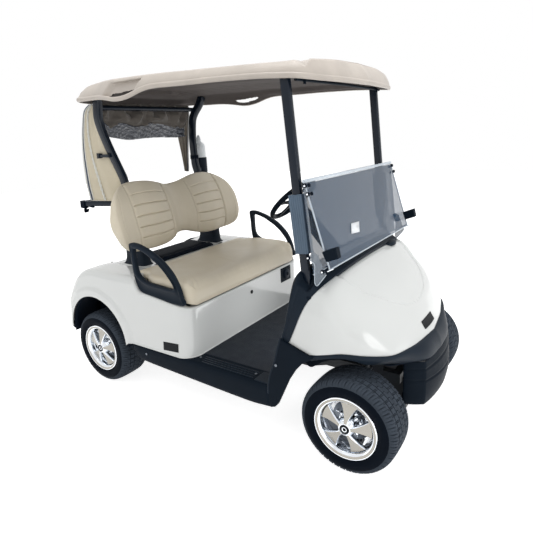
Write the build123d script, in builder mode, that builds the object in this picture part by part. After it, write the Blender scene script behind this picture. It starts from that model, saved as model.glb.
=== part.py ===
"""Two-seat golf cart: X forward, Y left, Z up, millimetres, ground at Z = 0.

The origin lies on the ground under the middle of the cart's length. Stations are distances ahead
of the rear axle, so every side view is drawn in (station, height).
"""
import os
from math import cos, radians, sin

from build123d import *

os.makedirs("parts", exist_ok=True)

# Driving dimensions
LENGTH = 2390
WHEELBASE = 1670
REAR_OVERHANG = 440
REAR_X = REAR_OVERHANG - LENGTH / 2
FRONT_X = REAR_X + WHEELBASE
BODY_HALF = 590
WALL = 5

WHEEL_R = 229
TYRE_HALF = 102.5
BEAD_R = 128
FRONT_HALF_TRACK = 477
REAR_HALF_TRACK = 488
SHAFT_R = 15
RUN_GAP = 0.05

FLOOR_Z = 330
FLOOR_T = 12
RAIL_IN, RAIL_OUT = 170, 215
RAIL_H = 50
DECK_Z = 740

STRUT_LONG, STRUT_WIDE = 50, 32
FRONT_STRUT_Y = 470
ROOF_T = 16
ROOF_LIP = 18

KINGPIN_Y = 365
KINGPIN_R = 14
STEER_ARM = 100
RACK_Z = 205
STEER_WHEEL_CENTRE = (930, 280, 1080)
STEER_TILT = 43

# Seat hinge: pin axis and pin spacing, with the widths of its knuckle and lugs
SEAT_PIN = (295, 738)
SEAT_PIN_R = 4
SEAT_HINGE_Y = 300
KNUCKLE_HALF = 13
LUG_IN, LUG_OUT = 14.5, 21
SIDES = (-1, 1)


def side_plane(y=0):
    """Side view at Y = y: local x is the station, local y the height, its normal points right."""
    return Plane(origin=(REAR_X, y, 0), x_dir=(1, 0, 0), z_dir=(0, -1, 0))


def cross_plane(station):
    """Cross section: local x is Y, local y the height, its normal points forward."""
    return Plane(origin=(REAR_X + station, 0, 0), x_dir=(0, 1, 0), z_dir=(1, 0, 0))


def plan_plane(z):
    """Plan at height z: local x is the station, local y is Y."""
    return Plane(origin=(REAR_X, 0, z))


def save(part, label):
    part.label = label
    export_step(part, f"parts/{label}.step")


# Wheels: name, axle x, half track with its side, side
WHEELS = (
    ("front_left", FRONT_X, FRONT_HALF_TRACK, 1),
    ("front_right", FRONT_X, -FRONT_HALF_TRACK, -1),
    ("rear_left", REAR_X, REAR_HALF_TRACK, 1),
    ("rear_right", REAR_X, -REAR_HALF_TRACK, -1),
)
LIP_R = 144
BARREL_R = 112
SPOKES = 5
HUB_IN, HUB_OUT = 20, 101
HUB_R = 34
SPOKE_IN, SPOKE_T = 60, 16
SPOKE_TURN = 11

for name, axle_x, wheel_y, side in WHEELS:
    # Radial section: local x runs outboard, local y is the radius.
    radial = Plane(origin=(axle_x, wheel_y, WHEEL_R), x_dir=(0, side, 0), z_dir=(side, 0, 0))
    face = Plane(origin=(axle_x, wheel_y, WHEEL_R), x_dir=(1, 0, 0), z_dir=(0, side, 0))
    spin = Axis((axle_x, wheel_y, WHEEL_R), (0, 1, 0))

    with BuildPart() as tyre:
        with BuildSketch(radial):
            with BuildLine():
                Polyline((0, WHEEL_R), (80, WHEEL_R))
                ThreePointArc((80, WHEEL_R), (93, 222), (98, 206))
                ThreePointArc((98, 206), (TYRE_HALF, 180), (87, 146))
                Polyline((87, 146), (87, BEAD_R), (0, BEAD_R), (0, WHEEL_R))
            make_face()
            mirror(about=Plane.YZ)
        revolve(axis=spin)
    save(tyre.part, f"tyre_{name}")

    with BuildPart() as rim:
        with BuildSketch(radial):
            with BuildLine():
                Polyline(
                    (-87, BEAD_R), (87, BEAD_R), (87, LIP_R - 2), (92, LIP_R + 1), (98, LIP_R - 2),
                    (93, 129), (80, 117), (50, BARREL_R), (-80, BARREL_R), (-92, 124),
                    (-98, LIP_R - 2), (-92, LIP_R + 1), (-87, LIP_R - 2), (-87, BEAD_R),
                )
            make_face()
        revolve(axis=spin)
        with BuildSketch(face.offset(HUB_IN)):
            Circle(HUB_R)
        extrude(amount=HUB_OUT - HUB_IN)
        with BuildSketch(face.offset(SPOKE_IN)):
            with PolarLocations(0, SPOKES, start_angle=-side * SPOKE_TURN):
                Polygon((24, -13), (24, 13), (118, 34), (118, -34), align=None)
        extrude(amount=SPOKE_T)
        with BuildSketch(face.offset(HUB_IN)):
            Circle(SHAFT_R + RUN_GAP)
        extrude(amount=26, mode=Mode.SUBTRACT)
    save(rim.part, f"rim_{name}")

# Chassis rails: the side outline kicks up over the rear axle and again under the nose.
RAIL_BOTTOM = ((-330, 345), (190, 345), (330, FLOOR_Z - FLOOR_T - RAIL_H),
               (1298, FLOOR_Z - FLOOR_T - RAIL_H), (1400, 300), (1790, 300))
CROSS_STATIONS = ((-330, 345), (330, 268), (820, 268), (1240, 268), (1550, 300), (1750, 300))
CROSS_LONG = 40
HITCH_STATION, HITCH_Z, HITCH_SPACING, HITCH_HOLE_R = -310, 345, 100, 5.5

with BuildPart() as frame_rails:
    for side in SIDES:
        with BuildSketch(side_plane(side * (RAIL_IN + RAIL_OUT) / 2)):
            Polygon(*RAIL_BOTTOM, *[(s, z + RAIL_H) for s, z in reversed(RAIL_BOTTOM)], align=None)
        extrude(amount=(RAIL_OUT - RAIL_IN) / 2, both=True)
    for station, height in CROSS_STATIONS:
        with BuildSketch(plan_plane(height)):
            with Locations((station + CROSS_LONG / 2, 0)):
                Rectangle(CROSS_LONG, 2 * RAIL_IN + 10)
        extrude(amount=RAIL_H)
    with BuildSketch(plan_plane(HITCH_Z)):
        with Locations((HITCH_STATION, HITCH_SPACING / 2), (HITCH_STATION, -HITCH_SPACING / 2)):
            Circle(HITCH_HOLE_R)
    extrude(amount=RAIL_H, mode=Mode.SUBTRACT)
save(frame_rails.part, "frame_rails")

# Floor and toe board, one bent sheet
TOE_FOOT, TOE_TOP = (1290, FLOOR_Z), (1400, 480)
FLOOR_HALF = 478
FLOOR_REAR = 350

with BuildPart() as floorboard:
    with BuildSketch(side_plane()):
        Polygon((FLOOR_REAR, FLOOR_Z - FLOOR_T), (TOE_FOOT[0] + 6, FLOOR_Z - FLOOR_T),
                (TOE_TOP[0] + 9, TOE_TOP[1] - 6), TOE_TOP, TOE_FOOT, (FLOOR_REAR, FLOOR_Z), align=None)
    extrude(amount=FLOOR_HALF, both=True)
save(floorboard.part, "floorboard")

# Rocker panels: a sill top and an outer skirt on each side
ROCKER_OUT = 578
ROCKER_SIDE = ((325, FLOOR_Z), (330, 300), (382, 237), (1112, 207), (1274, 216), (1290, 222), (1290, FLOOR_Z))
SKIRT_T = 16

with BuildPart() as rockers:
    for side in SIDES:
        outer = side_plane(side * ROCKER_OUT)
        with BuildSketch(outer):
            Polygon(*ROCKER_SIDE, align=None)
        extrude(amount=side * (ROCKER_OUT - FLOOR_HALF))
    fillet(rockers.edges().group_by(Axis.Z)[-1].filter_by(Axis.X).sort_by(Axis.Y)[0], 10)
    fillet(rockers.edges().group_by(Axis.Z)[-1].filter_by(Axis.X).sort_by(Axis.Y)[-1], 10)
    for side in SIDES:
        with BuildSketch(side_plane(side * (ROCKER_OUT - SKIRT_T))):
            with Locations((810, 150 + (FLOOR_Z - SKIRT_T - 150) / 2)):
                Rectangle(1100, FLOOR_Z - SKIRT_T - 150)
        extrude(amount=side * 100, mode=Mode.SUBTRACT)
save(rockers.part, "rockers")

# Rear body shell
SEAT_FRONT = 780
BODY_SIDE = (
    (SEAT_FRONT, FLOOR_Z), (SEAT_FRONT, 612), (768, 626), (426, 668), (372, 738), (340, DECK_Z), (-20, DECK_Z),
    (-85, 726), (-155, 688), (-217, 624), (-261, 550), (-310, FLOOR_Z),
)
ARCH_CENTRE, ARCH_R = (5, 312), 262
WELL_HALF = 374
BAY_REAR, BAY_FRONT, BAY_HALF = 290, 745, 485

with BuildPart() as body_hollow:
    with BuildSketch(side_plane()):
        Polygon(*[(s, z - 30 if z == FLOOR_Z else z) for s, z in BODY_SIDE], align=None)
        offset(amount=-WALL)
    extrude(amount=BODY_HALF - WALL, both=True)
    fillet(body_hollow.edges().filter_by(Axis.Z).group_by(Axis.X)[-1], 85)
    with BuildSketch(plan_plane(FLOOR_Z - 40)):
        with Locations((-200, 0)):
            Rectangle(410, 2 * (WELL_HALF + WALL))
    extrude(amount=500, mode=Mode.SUBTRACT)

with BuildPart() as rear_body:
    with BuildSketch(side_plane()):
        Polygon(*BODY_SIDE, align=None)
    extrude(amount=BODY_HALF, both=True)
    fillet(rear_body.edges().filter_by(Axis.Z).group_by(Axis.X)[-1], 90)
    add(body_hollow.part, mode=Mode.SUBTRACT)
    with BuildSketch(plan_plane(FLOOR_Z - 10)):
        with Locations((-200, 0)):
            Rectangle(400, 2 * WELL_HALF)
    extrude(amount=500, mode=Mode.SUBTRACT)
    with BuildSketch(side_plane()):
        with Locations(ARCH_CENTRE):
            Circle(ARCH_R)
    extrude(amount=BODY_HALF + 10, both=True, mode=Mode.SUBTRACT)
    with BuildSketch(plan_plane(560)):
        with Locations(((BAY_REAR + BAY_FRONT) / 2, 0)):
            Rectangle(BAY_FRONT - BAY_REAR, 2 * BAY_HALF)
    extrude(amount=250, mode=Mode.SUBTRACT)
    for hinge_y in (-SEAT_HINGE_Y, SEAT_HINGE_Y):
        with BuildSketch(plan_plane(DECK_Z - 20)):
            with Locations((BAY_REAR, hinge_y)):
                Rectangle(20, 2 * LUG_IN)
        extrude(amount=30, mode=Mode.SUBTRACT)
        for lug_y in (hinge_y - LUG_OUT, hinge_y + LUG_IN):
            with BuildSketch(side_plane(lug_y)):
                Polygon((274, DECK_Z - 8), (299.5, DECK_Z - 8), (299.5, DECK_Z + 1), (296, DECK_Z + 4),
                        (274, DECK_Z), align=None)
            extrude(amount=LUG_IN - LUG_OUT)
        with BuildSketch(side_plane(hinge_y - LUG_IN - 3)):
            with Locations(SEAT_PIN):
                Circle(SEAT_PIN_R)
        extrude(amount=-2 * LUG_IN - 6)
save(rear_body.part, "rear_body")

# Bag well: an open bin between the rear fenders
BIN_SIDE = ((-2, 735), (-2, 430), (-415, 430), (-432, 530), (-300, 600), (-150, 690), (-60, 735))
BIN_HALF = 372

with BuildPart() as bag_well:
    with BuildSketch(side_plane()):
        Polygon(*BIN_SIDE, align=None)
    extrude(amount=BIN_HALF, both=True)
    with BuildSketch(side_plane()):
        Polygon((-2 - WALL, 800), (-2 - WALL, 430 + WALL), (-411, 430 + WALL), (-440, 600), (-440, 800), align=None)
    extrude(amount=BIN_HALF - WALL, both=True, mode=Mode.SUBTRACT)
save(bag_well.part, "bag_well")

# Rear bumper: a rounded bar on two brackets that reach the rails
with BuildPart() as rear_bumper:
    with BuildSketch(plan_plane(345)):
        with BuildLine():
            Polyline((-372, -470), (-372, 470), (-400, 470))
            ThreePointArc((-400, 470), (-REAR_OVERHANG, 0), (-400, -470))
            Line((-400, -470), (-372, -470))
        make_face()
    extrude(amount=80)
    with BuildSketch(plan_plane(350)):
        for side in SIDES:
            with Locations((-351, side * (RAIL_IN + RAIL_OUT) / 2)):
                Rectangle(42, RAIL_OUT - RAIL_IN)
    extrude(amount=40)
save(rear_bumper.part, "rear_bumper")

# Battery pack, rear axle with its motor, and springs
with BuildPart() as battery_pack:
    with BuildSketch(plan_plane(FLOOR_Z)):
        with Locations((530, 0)):
            Rectangle(400, 780)
    extrude(amount=260)
save(battery_pack.part, "battery_pack")

AXLE_TUBE_R = 38
DRUM_R = 88
axle_face = Plane(origin=(REAR_X, 0, WHEEL_R), x_dir=(1, 0, 0), z_dir=(0, 1, 0))
with BuildPart() as rear_axle:
    with BuildSketch(axle_face):
        Circle(AXLE_TUBE_R)
    extrude(amount=400, both=True)
    with BuildSketch(axle_face):
        Circle(112)
    extrude(amount=75, both=True)
    with BuildSketch(axle_face.offset(75)):
        with Locations((40, 10)):
            Circle(80)
    extrude(amount=200)
    for side in SIDES:
        with BuildSketch(axle_face.offset(side * 396)):
            Circle(DRUM_R)
        extrude(amount=side * 44)
    with BuildSketch(axle_face):
        Circle(SHAFT_R)
    extrude(amount=REAR_HALF_TRACK + 40, both=True)
save(rear_axle.part, "rear_axle")

LEAF_IN, LEAF_OUT = 285, 335
with BuildPart() as rear_suspension:
    for side in SIDES:
        with BuildSketch(side_plane(side * (LEAF_IN + LEAF_OUT) / 2)):
            with BuildLine():
                ThreePointArc((-330, 310), (0, WHEEL_R + AXLE_TUBE_R), (330, 310))
                Line((330, 310), (330, 324))
                ThreePointArc((330, 324), (0, WHEEL_R + AXLE_TUBE_R + 18), (-330, 324))
                Line((-330, 324), (-330, 310))
            make_face()
        extrude(amount=(LEAF_OUT - LEAF_IN) / 2, both=True)
        for station in (-330, 300):
            with BuildSketch(side_plane(side * LEAF_OUT)):
                with Locations((station + 15, 335)):
                    Rectangle(30, 40)
            extrude(amount=side * (LEAF_OUT - RAIL_OUT))
save(rear_suspension.part, "rear_suspension")

# Front suspension: cross beam, lower arms, kingpins, spring towers and the rack housing
ARM_Z = 140
PIN_TOP = 322
TOWER_TOP = 620
RACK_STATION = WHEELBASE - STEER_ARM
KNUCKLE_Z = (172, 292)
with BuildPart() as front_suspension:
    with BuildSketch(plan_plane(ARM_Z)):
        for side in SIDES:
            Polygon((WHEELBASE - 130, side * 150), (WHEELBASE - 130, side * 175), (WHEELBASE - 14, side * KINGPIN_Y),
                    (WHEELBASE + 14, side * KINGPIN_Y), (WHEELBASE + 130, side * 175),
                    (WHEELBASE + 130, side * 150), align=None)
            with Locations((WHEELBASE, side * KINGPIN_Y)):
                Circle(24)
    extrude(amount=28)
    with BuildSketch(plan_plane(ARM_Z)):
        for side in SIDES:
            Polygon((WHEELBASE - 85, side * 170), (WHEELBASE, side * 325), (WHEELBASE + 85, side * 170), align=None)
    extrude(amount=28, mode=Mode.SUBTRACT)
    with BuildSketch(plan_plane(ARM_Z)):
        with Locations((WHEELBASE, 0)):
            Rectangle(270, 320)
            Rectangle(200, 200, mode=Mode.SUBTRACT)
    extrude(amount=160)
    with BuildSketch(plan_plane(ARM_Z)):
        for side in SIDES:
            with Locations((WHEELBASE, side * KINGPIN_Y)):
                Circle(KINGPIN_R)
    extrude(amount=PIN_TOP - ARM_Z)
    for side in SIDES:
        with BuildSketch(plan_plane(300 + RAIL_H)):
            with Locations((WHEELBASE, side * 205)):
                Rectangle(70, 20)
        extrude(amount=TOWER_TOP - 300 - RAIL_H)
        with BuildSketch(plan_plane(TOWER_TOP - 12)):
            with Locations((WHEELBASE, side * 255)):
                Rectangle(70, 120)
        extrude(amount=12)
    with BuildSketch(Plane(origin=(REAR_X + RACK_STATION, 0, RACK_Z), x_dir=(1, 0, 0), z_dir=(0, 1, 0))):
        Circle(24)
    extrude(amount=110, both=True)
    with BuildSketch(Plane(origin=(REAR_X + RACK_STATION, 0, RACK_Z), x_dir=(1, 0, 0), z_dir=(0, 1, 0))):
        Circle(12.5)
    extrude(amount=170, both=True, mode=Mode.SUBTRACT)
save(front_suspension.part, "front_suspension")

# Coil-over shock absorbers, leaning inboard from the kingpins to the towers, with their springs as rings
SHOCK_R = 20
SHOCK_FOOT, SHOCK_HEAD = (KINGPIN_Y - 12, PIN_TOP), (285, TOWER_TOP - 12)
COILS = 8
COIL_R, WIRE_HALF = 28, 5
with BuildPart() as front_shocks:
    for side in SIDES:
        for y, height in (SHOCK_FOOT, SHOCK_HEAD):
            with BuildSketch(Plane(origin=(FRONT_X, side * y, height))):
                Circle(SHOCK_R)
        loft(ruled=True)
        run_y, run_z = side * (SHOCK_HEAD[0] - SHOCK_FOOT[0]), SHOCK_HEAD[1] - SHOCK_FOOT[1]
        for coil in range(COILS):
            share = (coil + 1) / (COILS + 1)
            middle = (FRONT_X, side * SHOCK_FOOT[0] + run_y * share, SHOCK_FOOT[1] + run_z * share)
            with BuildSketch(Plane(origin=middle, x_dir=(1, 0, 0), z_dir=(0, run_y, run_z))):
                Circle(COIL_R)
            extrude(amount=WIRE_HALF, both=True)
save(front_shocks.part, "front_shocks")

# Knuckles turn about the kingpins and carry the front wheels on their spindles.
ARM_T = 12
for name, side in (("left", 1), ("right", -1)):
    with BuildPart() as knuckle:
        with BuildSketch(plan_plane(KNUCKLE_Z[0])):
            with Locations((WHEELBASE, side * KINGPIN_Y)):
                Circle(26)
        extrude(amount=KNUCKLE_Z[1] - KNUCKLE_Z[0])
        with BuildSketch(Plane(origin=(FRONT_X, side * (KINGPIN_Y + 10), WHEEL_R), x_dir=(1, 0, 0), z_dir=(0, side, 0))):
            Circle(24)
        extrude(amount=36)
        with BuildSketch(Plane(origin=(FRONT_X, side * (KINGPIN_Y + 10), WHEEL_R), x_dir=(1, 0, 0), z_dir=(0, side, 0))):
            Circle(SHAFT_R)
        extrude(amount=FRONT_HALF_TRACK + 40 - KINGPIN_Y - 10)
        with BuildSketch(plan_plane(RACK_Z + 9)):
            Polygon((WHEELBASE, side * (KINGPIN_Y - 14)), (WHEELBASE, side * (KINGPIN_Y + 10)),
                    (RACK_STATION, side * (KINGPIN_Y - 3)), (RACK_STATION, side * (KINGPIN_Y - 27)), align=None)
            with Locations((RACK_STATION, side * (KINGPIN_Y - 15))):
                Circle(16)
        extrude(amount=ARM_T)
        with BuildSketch(plan_plane(KNUCKLE_Z[0])):
            with Locations((WHEELBASE, side * KINGPIN_Y)):
                Circle(KINGPIN_R + RUN_GAP)
        extrude(amount=KNUCKLE_Z[1] - KNUCKLE_Z[0], mode=Mode.SUBTRACT)
    save(knuckle.part, f"knuckle_{name}")

# Steering rack with its tie rods: slides across in the housing
with BuildPart() as steering_rack:
    with BuildSketch(Plane(origin=(REAR_X + RACK_STATION, 0, RACK_Z), x_dir=(1, 0, 0), z_dir=(0, 1, 0))):
        Circle(12)
    extrude(amount=175, both=True)
    with BuildSketch(Plane(origin=(REAR_X + RACK_STATION, 0, RACK_Z), x_dir=(1, 0, 0), z_dir=(0, 1, 0))):
        Circle(7)
    extrude(amount=KINGPIN_Y - 15, both=True)
    with BuildSketch(plan_plane(RACK_Z - 7)):
        with Locations((RACK_STATION, KINGPIN_Y - 15), (RACK_STATION, 15 - KINGPIN_Y)):
            Circle(15)
    extrude(amount=14)
save(steering_rack.part, "steering_rack")

# Front cowl: cross sections of half width, underside, shoulder height, top height and shoulder inset
COWL_SECTIONS = (
    (1380, 572, 500, 745, 884, 70),
    (1500, 574, 500, 735, 876, 80),
    (1560, 564, 500, 712, 858, 84),
    (1620, 545, 500, 680, 824, 90),
    (1680, 513, 500, 648, 786, 96),
    (1740, 468, 500, 612, 738, 100),
    (1785, 416, 500, 584, 688, 98),
    (1820, 360, 500, 560, 634, 90),
    (1852, 262, 500, 535, 582, 66),
    (1872, 140, 500, 516, 545, 36),
)
COWL_SEAM = ((1392, 571), (1425, 658), (1447, 744), (1498, 800), (1555, 868))
COWL_EDGE = ((1521, 529), (1575, 553), (1640, 562), (1717, 550), (1773, 540), (1816, 526), (1890, 516))


COWL_FALL = 7
SHOULDER_DROP = 24
SHOULDER_BEND = 0.29


def cowl_section(station, half, low, shoulder, top, inset):
    """Closed arch: flat underside, upright sides, round shoulders and a crowned top."""
    rim = top - SHOULDER_DROP
    bend_y = half - inset * SHOULDER_BEND
    bend_z = rim - (rim - shoulder) * SHOULDER_BEND
    with BuildSketch(cross_plane(station)) as section:
        with BuildLine():
            Polyline((half, shoulder), (half, low), (-half, low), (-half, shoulder))
            ThreePointArc((-half, shoulder), (-bend_y, bend_z), (inset - half, rim))
            ThreePointArc((inset - half, rim), (0, top), (half - inset, rim))
            ThreePointArc((half - inset, rim), (bend_y, bend_z), (half, shoulder))
        make_face()
    return section.sketch


with BuildPart() as cowl_hollow:
    loft([cowl_section(station - COWL_FALL * (station > 1700), half - WALL, low - 20, shoulder - WALL,
                       top - WALL - 1, inset) for station, half, low, shoulder, top, inset in COWL_SECTIONS],
         ruled=True)

with BuildPart() as front_cowl:
    loft([cowl_section(*row) for row in COWL_SECTIONS], ruled=True)
    add(cowl_hollow.part, mode=Mode.SUBTRACT)
    with BuildSketch(side_plane()):
        Polygon((1370, 450), (1370, 571), *COWL_SEAM, (1555, 950), (1300, 950), (1300, 450), align=None)
        Polygon((1380, 450), (1380, 571), COWL_SEAM[0], *COWL_EDGE, (1900, 450), align=None)
    extrude(amount=700, both=True, mode=Mode.SUBTRACT)
save(front_cowl.part, "front_cowl")

# Front bumper: a bowed band over a narrower chin, both ruled between plan sections
with BuildPart() as front_bumper:
    for height, half, back, apex in ((440, 430, 1735, 1922), (514, 436, 1728, 1884)):
        with BuildSketch(plan_plane(height)):
            with BuildLine():
                ThreePointArc((back, -half), (apex, 0), (back, half))
                Line((back, half), (back, -half))
            make_face()
    loft(ruled=True)
    for height, half, corner, apex in ((217, 243, 208, 1932), (320, 250, 212, 1950), (445, 255, 216, 1924)):
        with BuildSketch(plan_plane(height)):
            with BuildLine():
                Polyline((1905, -corner), (1815, -half), (1815, half), (1905, corner))
                ThreePointArc((1905, corner), (apex, 0), (1905, -corner))
            make_face()
    loft(ruled=True)
    with BuildSketch(plan_plane(200)):
        with BuildLine():
            Polyline((1896, -200), (1800, -236), (1800, 236), (1896, 200))
            ThreePointArc((1896, 200), (1914, 0), (1896, -200))
        make_face()
    extrude(amount=225, mode=Mode.SUBTRACT)
    with BuildSketch(plan_plane(450)):
        with BuildLine():
            ThreePointArc((1700, -428), (1872, 0), (1700, 428))
            Line((1700, 428), (1700, -428))
        make_face()
    extrude(amount=80, mode=Mode.SUBTRACT)
    with BuildSketch(cross_plane(1690)):
        Polygon((258, 420), (262, 446), (340, 476), (440, 494), (440, 420), align=None)
        Polygon((-258, 420), (-262, 446), (-340, 476), (-440, 494), (-440, 420), align=None)
    extrude(amount=260, mode=Mode.SUBTRACT)
save(front_bumper.part, "front_bumper")

# Fender panels: black sweeps from the rockers up to the cowl
FENDER_SIDE = ((1290, 222), (1326, 242), (1396, 392), (1464, 487), (1521, 529), (1392, 571), (1360, 590),
               (1330, 480), (1290, FLOOR_Z + 40))
with BuildPart() as fender_panels:
    for side in SIDES:
        with BuildSketch(side_plane(side * 578)):
            Polygon(*FENDER_SIDE, align=None)
        extrude(amount=side * 18)
save(fender_panels.part, "fender_panels")


def level_rectangle(height, station, y, long, wide):
    """Level section of a leaning tube."""
    with BuildSketch(plan_plane(height)) as section:
        with Locations((station, y)):
            Rectangle(long, wide)
    return section.sketch


FRONT_STRUT = ((780, 1449), (1738, 1359))
with BuildPart() as front_struts:
    for side in SIDES:
        loft([level_rectangle(z, s, side * FRONT_STRUT_Y, STRUT_LONG, STRUT_WIDE) for z, s in FRONT_STRUT])
save(front_struts.part, "front_struts")

REAR_STRUT = ((DECK_Z, 165, 338), (1243, 100, 318), (1610, 52, 398), (1752, 50, 400))

# Backrest bars: height, station and half length, with pads that meet the backrest's rear face
BACK_BARS = ((910, 143, 331), (1130, 115, 323))
BAR_HIGH, BAR_LONG = 30, 24
PAD_Y = (130, 200)
BACK_REAR = 185
BACK_REAR_LEAN = 0.12
BACK_LOW, BACK_HIGH = 836, 1244


def back_rear(height):
    """Station of the backrest's rear face."""
    return BACK_REAR - BACK_REAR_LEAN * (height - BACK_LOW)


# Cover hook: a flat stub behind the right strut
STUB_SIDE = ((-18, 1386), (-18, 1412), (-6, 1412), (-2, 1404), (75, 1407), (75, 1391), (-2, 1394), (-6, 1386))
STUB_Y, STUB_T = 352, 8
FOOT_SIDE = ((74, DECK_Z), (253, DECK_Z), (246, 780), (240, 830), (150, 830), (148, 790), (120, 762))
with BuildPart() as rear_struts:
    for side in SIDES:
        loft([level_rectangle(z, s, side * y, STRUT_LONG, STRUT_WIDE) for z, s, y in REAR_STRUT], ruled=True)
        with BuildSketch(side_plane(side * 340)):
            Polygon(*FOOT_SIDE, align=None)
        extrude(amount=36, both=True)
    with BuildSketch(Plane(origin=(REAR_X + 50, 0, 1672), x_dir=(1, 0, 0), z_dir=(0, 1, 0))):
        Circle(15)
    extrude(amount=400, both=True)
    for height, station, half in BACK_BARS:
        low, high = height - BAR_HIGH / 2, height + BAR_HIGH / 2
        with BuildSketch(plan_plane(low)):
            with Locations((station, 0)):
                Rectangle(BAR_LONG, 2 * half)
        extrude(amount=BAR_HIGH)
        for side in SIDES:
            with BuildSketch(side_plane(side * PAD_Y[0])):
                Polygon((station, low), (back_rear(low) - 0.3, low), (back_rear(high) - 0.3, high),
                        (station, high), align=None)
            extrude(amount=side * (PAD_Y[0] - PAD_Y[1]))
    with BuildSketch(side_plane(-STUB_Y)):
        Polygon(*STUB_SIDE, align=None)
    extrude(amount=STUB_T)
save(rear_struts.part, "rear_struts")

# Sleeves around the front struts
with BuildPart() as strut_sleeves:
    for side in SIDES:
        loft([level_rectangle(z, s, side * FRONT_STRUT_Y, 72, 48) for z, s in ((971, 1433), (1225, 1405))])
    add(front_struts.part, mode=Mode.SUBTRACT)
save(strut_sleeves.part, "strut_sleeves")

# Roof: plan outline, side outline and a recess from below
ROOF_PLAN = ((-62, 380), (-20, 450), (330, 548), (560, 550), (800, 532), (1200, 518), (1390, 508), (1450, 482),
             (1508, 410))
ROOF_TOP = ((-62, 1722), (20, 1762), (231, 1780), (376, 1792), (788, 1785), (1161, 1768), (1459, 1742), (1560, 1716))
ROOF_LOWER = ((1560, 1684), (1405, 1689), (1074, 1706), (821, 1714), (706, 1703), (580, 1670), (499, 1662),
              (420, 1675), (357, 1697), (137, 1695), (-62, 1698))


def roof_plan(inset):
    """Roof outline in plan, bowed at the front."""
    points = [(s + (inset if s < 0 else -inset if s > 1400 else 0), y - inset) for s, y in ROOF_PLAN]
    with BuildSketch(plan_plane(1600)) as outline:
        with BuildLine():
            Polyline(*[(s, -y) for s, y in reversed(points)], *points)
            ThreePointArc(points[-1], (1560 - inset, 0), (points[-1][0], -points[-1][1]))
        make_face()
    return outline.sketch


with BuildPart() as roof_hollow:
    extrude(roof_plan(ROOF_LIP), amount=250)
    with BuildSketch(side_plane()):
        Polygon((-62, 1600), *[(s, z - ROOF_T) for s, z in ROOF_TOP], (1560, 1600), align=None)
    extrude(amount=600, both=True, mode=Mode.INTERSECT)

with BuildPart() as roof:
    extrude(roof_plan(0), amount=250)
    with BuildSketch(side_plane()):
        Polygon(*ROOF_TOP, *ROOF_LOWER, align=None)
    extrude(amount=600, both=True, mode=Mode.INTERSECT)
    add(roof_hollow.part, mode=Mode.SUBTRACT)
    with BuildSketch(side_plane()):
        Polygon((335, 1712), (545, 1704), (560, 1748), (350, 1752), align=None)
    extrude(amount=600, both=True, mode=Mode.SUBTRACT)
save(roof.part, "roof")

# Windshield: the lower panel stands on the cowl, the upper one hangs folded in front of it
SHIELD_HALF = 505
SHIELD_T = 5
HINGE = (1452, 1278)
with BuildPart() as windshield_lower:
    with BuildSketch(side_plane()):
        Polygon((HINGE[0], HINGE[1] - 5), (HINGE[0] + SHIELD_T, HINGE[1] - 5), (1500, 888), (1495, 888), align=None)
    extrude(amount=SHIELD_HALF, both=True)
save(windshield_lower.part, "windshield_lower")

with BuildPart() as windshield_upper:
    with BuildSketch(side_plane()):
        Polygon((HINGE[0] + SHIELD_T + 1, HINGE[1]), (HINGE[0] + SHIELD_T + 7, HINGE[1]), (1576, 921), (1570, 921), align=None)
    extrude(amount=SHIELD_HALF - 3, both=True)
    with BuildSketch(side_plane()):
        with Locations((HINGE[0] + 5, HINGE[1] + 6)):
            Circle(9)
    extrude(amount=SHIELD_HALF, both=True)
save(windshield_upper.part, "windshield_upper")

with BuildPart() as windshield_clips:
    for side in SIDES:
        with BuildSketch(side_plane(side * 522)):
            Polygon((1566, 959), (1546, 1021), (1604, 1028), (1618, 966), align=None)
        extrude(amount=side * 62)
save(windshield_clips.part, "windshield_clips")

# Steering column and wheel
COLUMN_LONG = 594
tilt = radians(STEER_TILT)
column_plane = Plane(
    origin=(REAR_X + STEER_WHEEL_CENTRE[0], STEER_WHEEL_CENTRE[1], STEER_WHEEL_CENTRE[2]),
    x_dir=(cos(tilt), 0, sin(tilt)),
    z_dir=(-sin(tilt), 0, cos(tilt)),
)
with BuildPart() as steering_column:
    with BuildSketch(column_plane.offset(-60)):
        Circle(36)
    extrude(amount=-COLUMN_LONG)
    with BuildSketch(column_plane.offset(-60)):
        Circle(12)
    extrude(amount=45)
save(steering_column.part, "steering_column")

with BuildPart() as steering_wheel:
    with BuildSketch(Plane(origin=column_plane.origin, x_dir=column_plane.x_dir, z_dir=(0, -1, 0))):
        with Locations((160, 0)):
            Circle(13)
    revolve(axis=Axis(column_plane.origin, column_plane.z_dir))
    with BuildSketch(column_plane.offset(-50)):
        Circle(38)
    extrude(amount=46)
    for angle in (0, 180, 270):
        with BuildSketch(column_plane.offset(-12)):
            with PolarLocations(92, 1, start_angle=angle):
                Rectangle(140, 34)
        extrude(amount=10)
    with BuildSketch(column_plane.offset(-50)):
        Circle(12 + RUN_GAP)
    extrude(amount=36, mode=Mode.SUBTRACT)
save(steering_wheel.part, "steering_wheel")

# Dash and inner cowl: pillars at both sides, the hollow dash between them
PILLAR_SIDE = ((1360, 590), (1370, 686), (1405, 800), (1425, 860), (1455, 893), (1555, 876), *reversed(COWL_SEAM))
PILLAR_IN, PILLAR_OUT = 440, 560
DASH_SIDE = ((1400, 480), (1364, 640), (1368, 790), (1392, 850), (1398, 884), (1425, 902), (1455, 896),
             (1556, 874), (1556, 862), (1425, 862), (1425, 486))
DASH_HOLLOW = ((1418, 470), (1378, 642), (1382, 787), (1405, 847), (1411, 876), (1430, 887), (1440, 887),
               (1440, 470))

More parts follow.
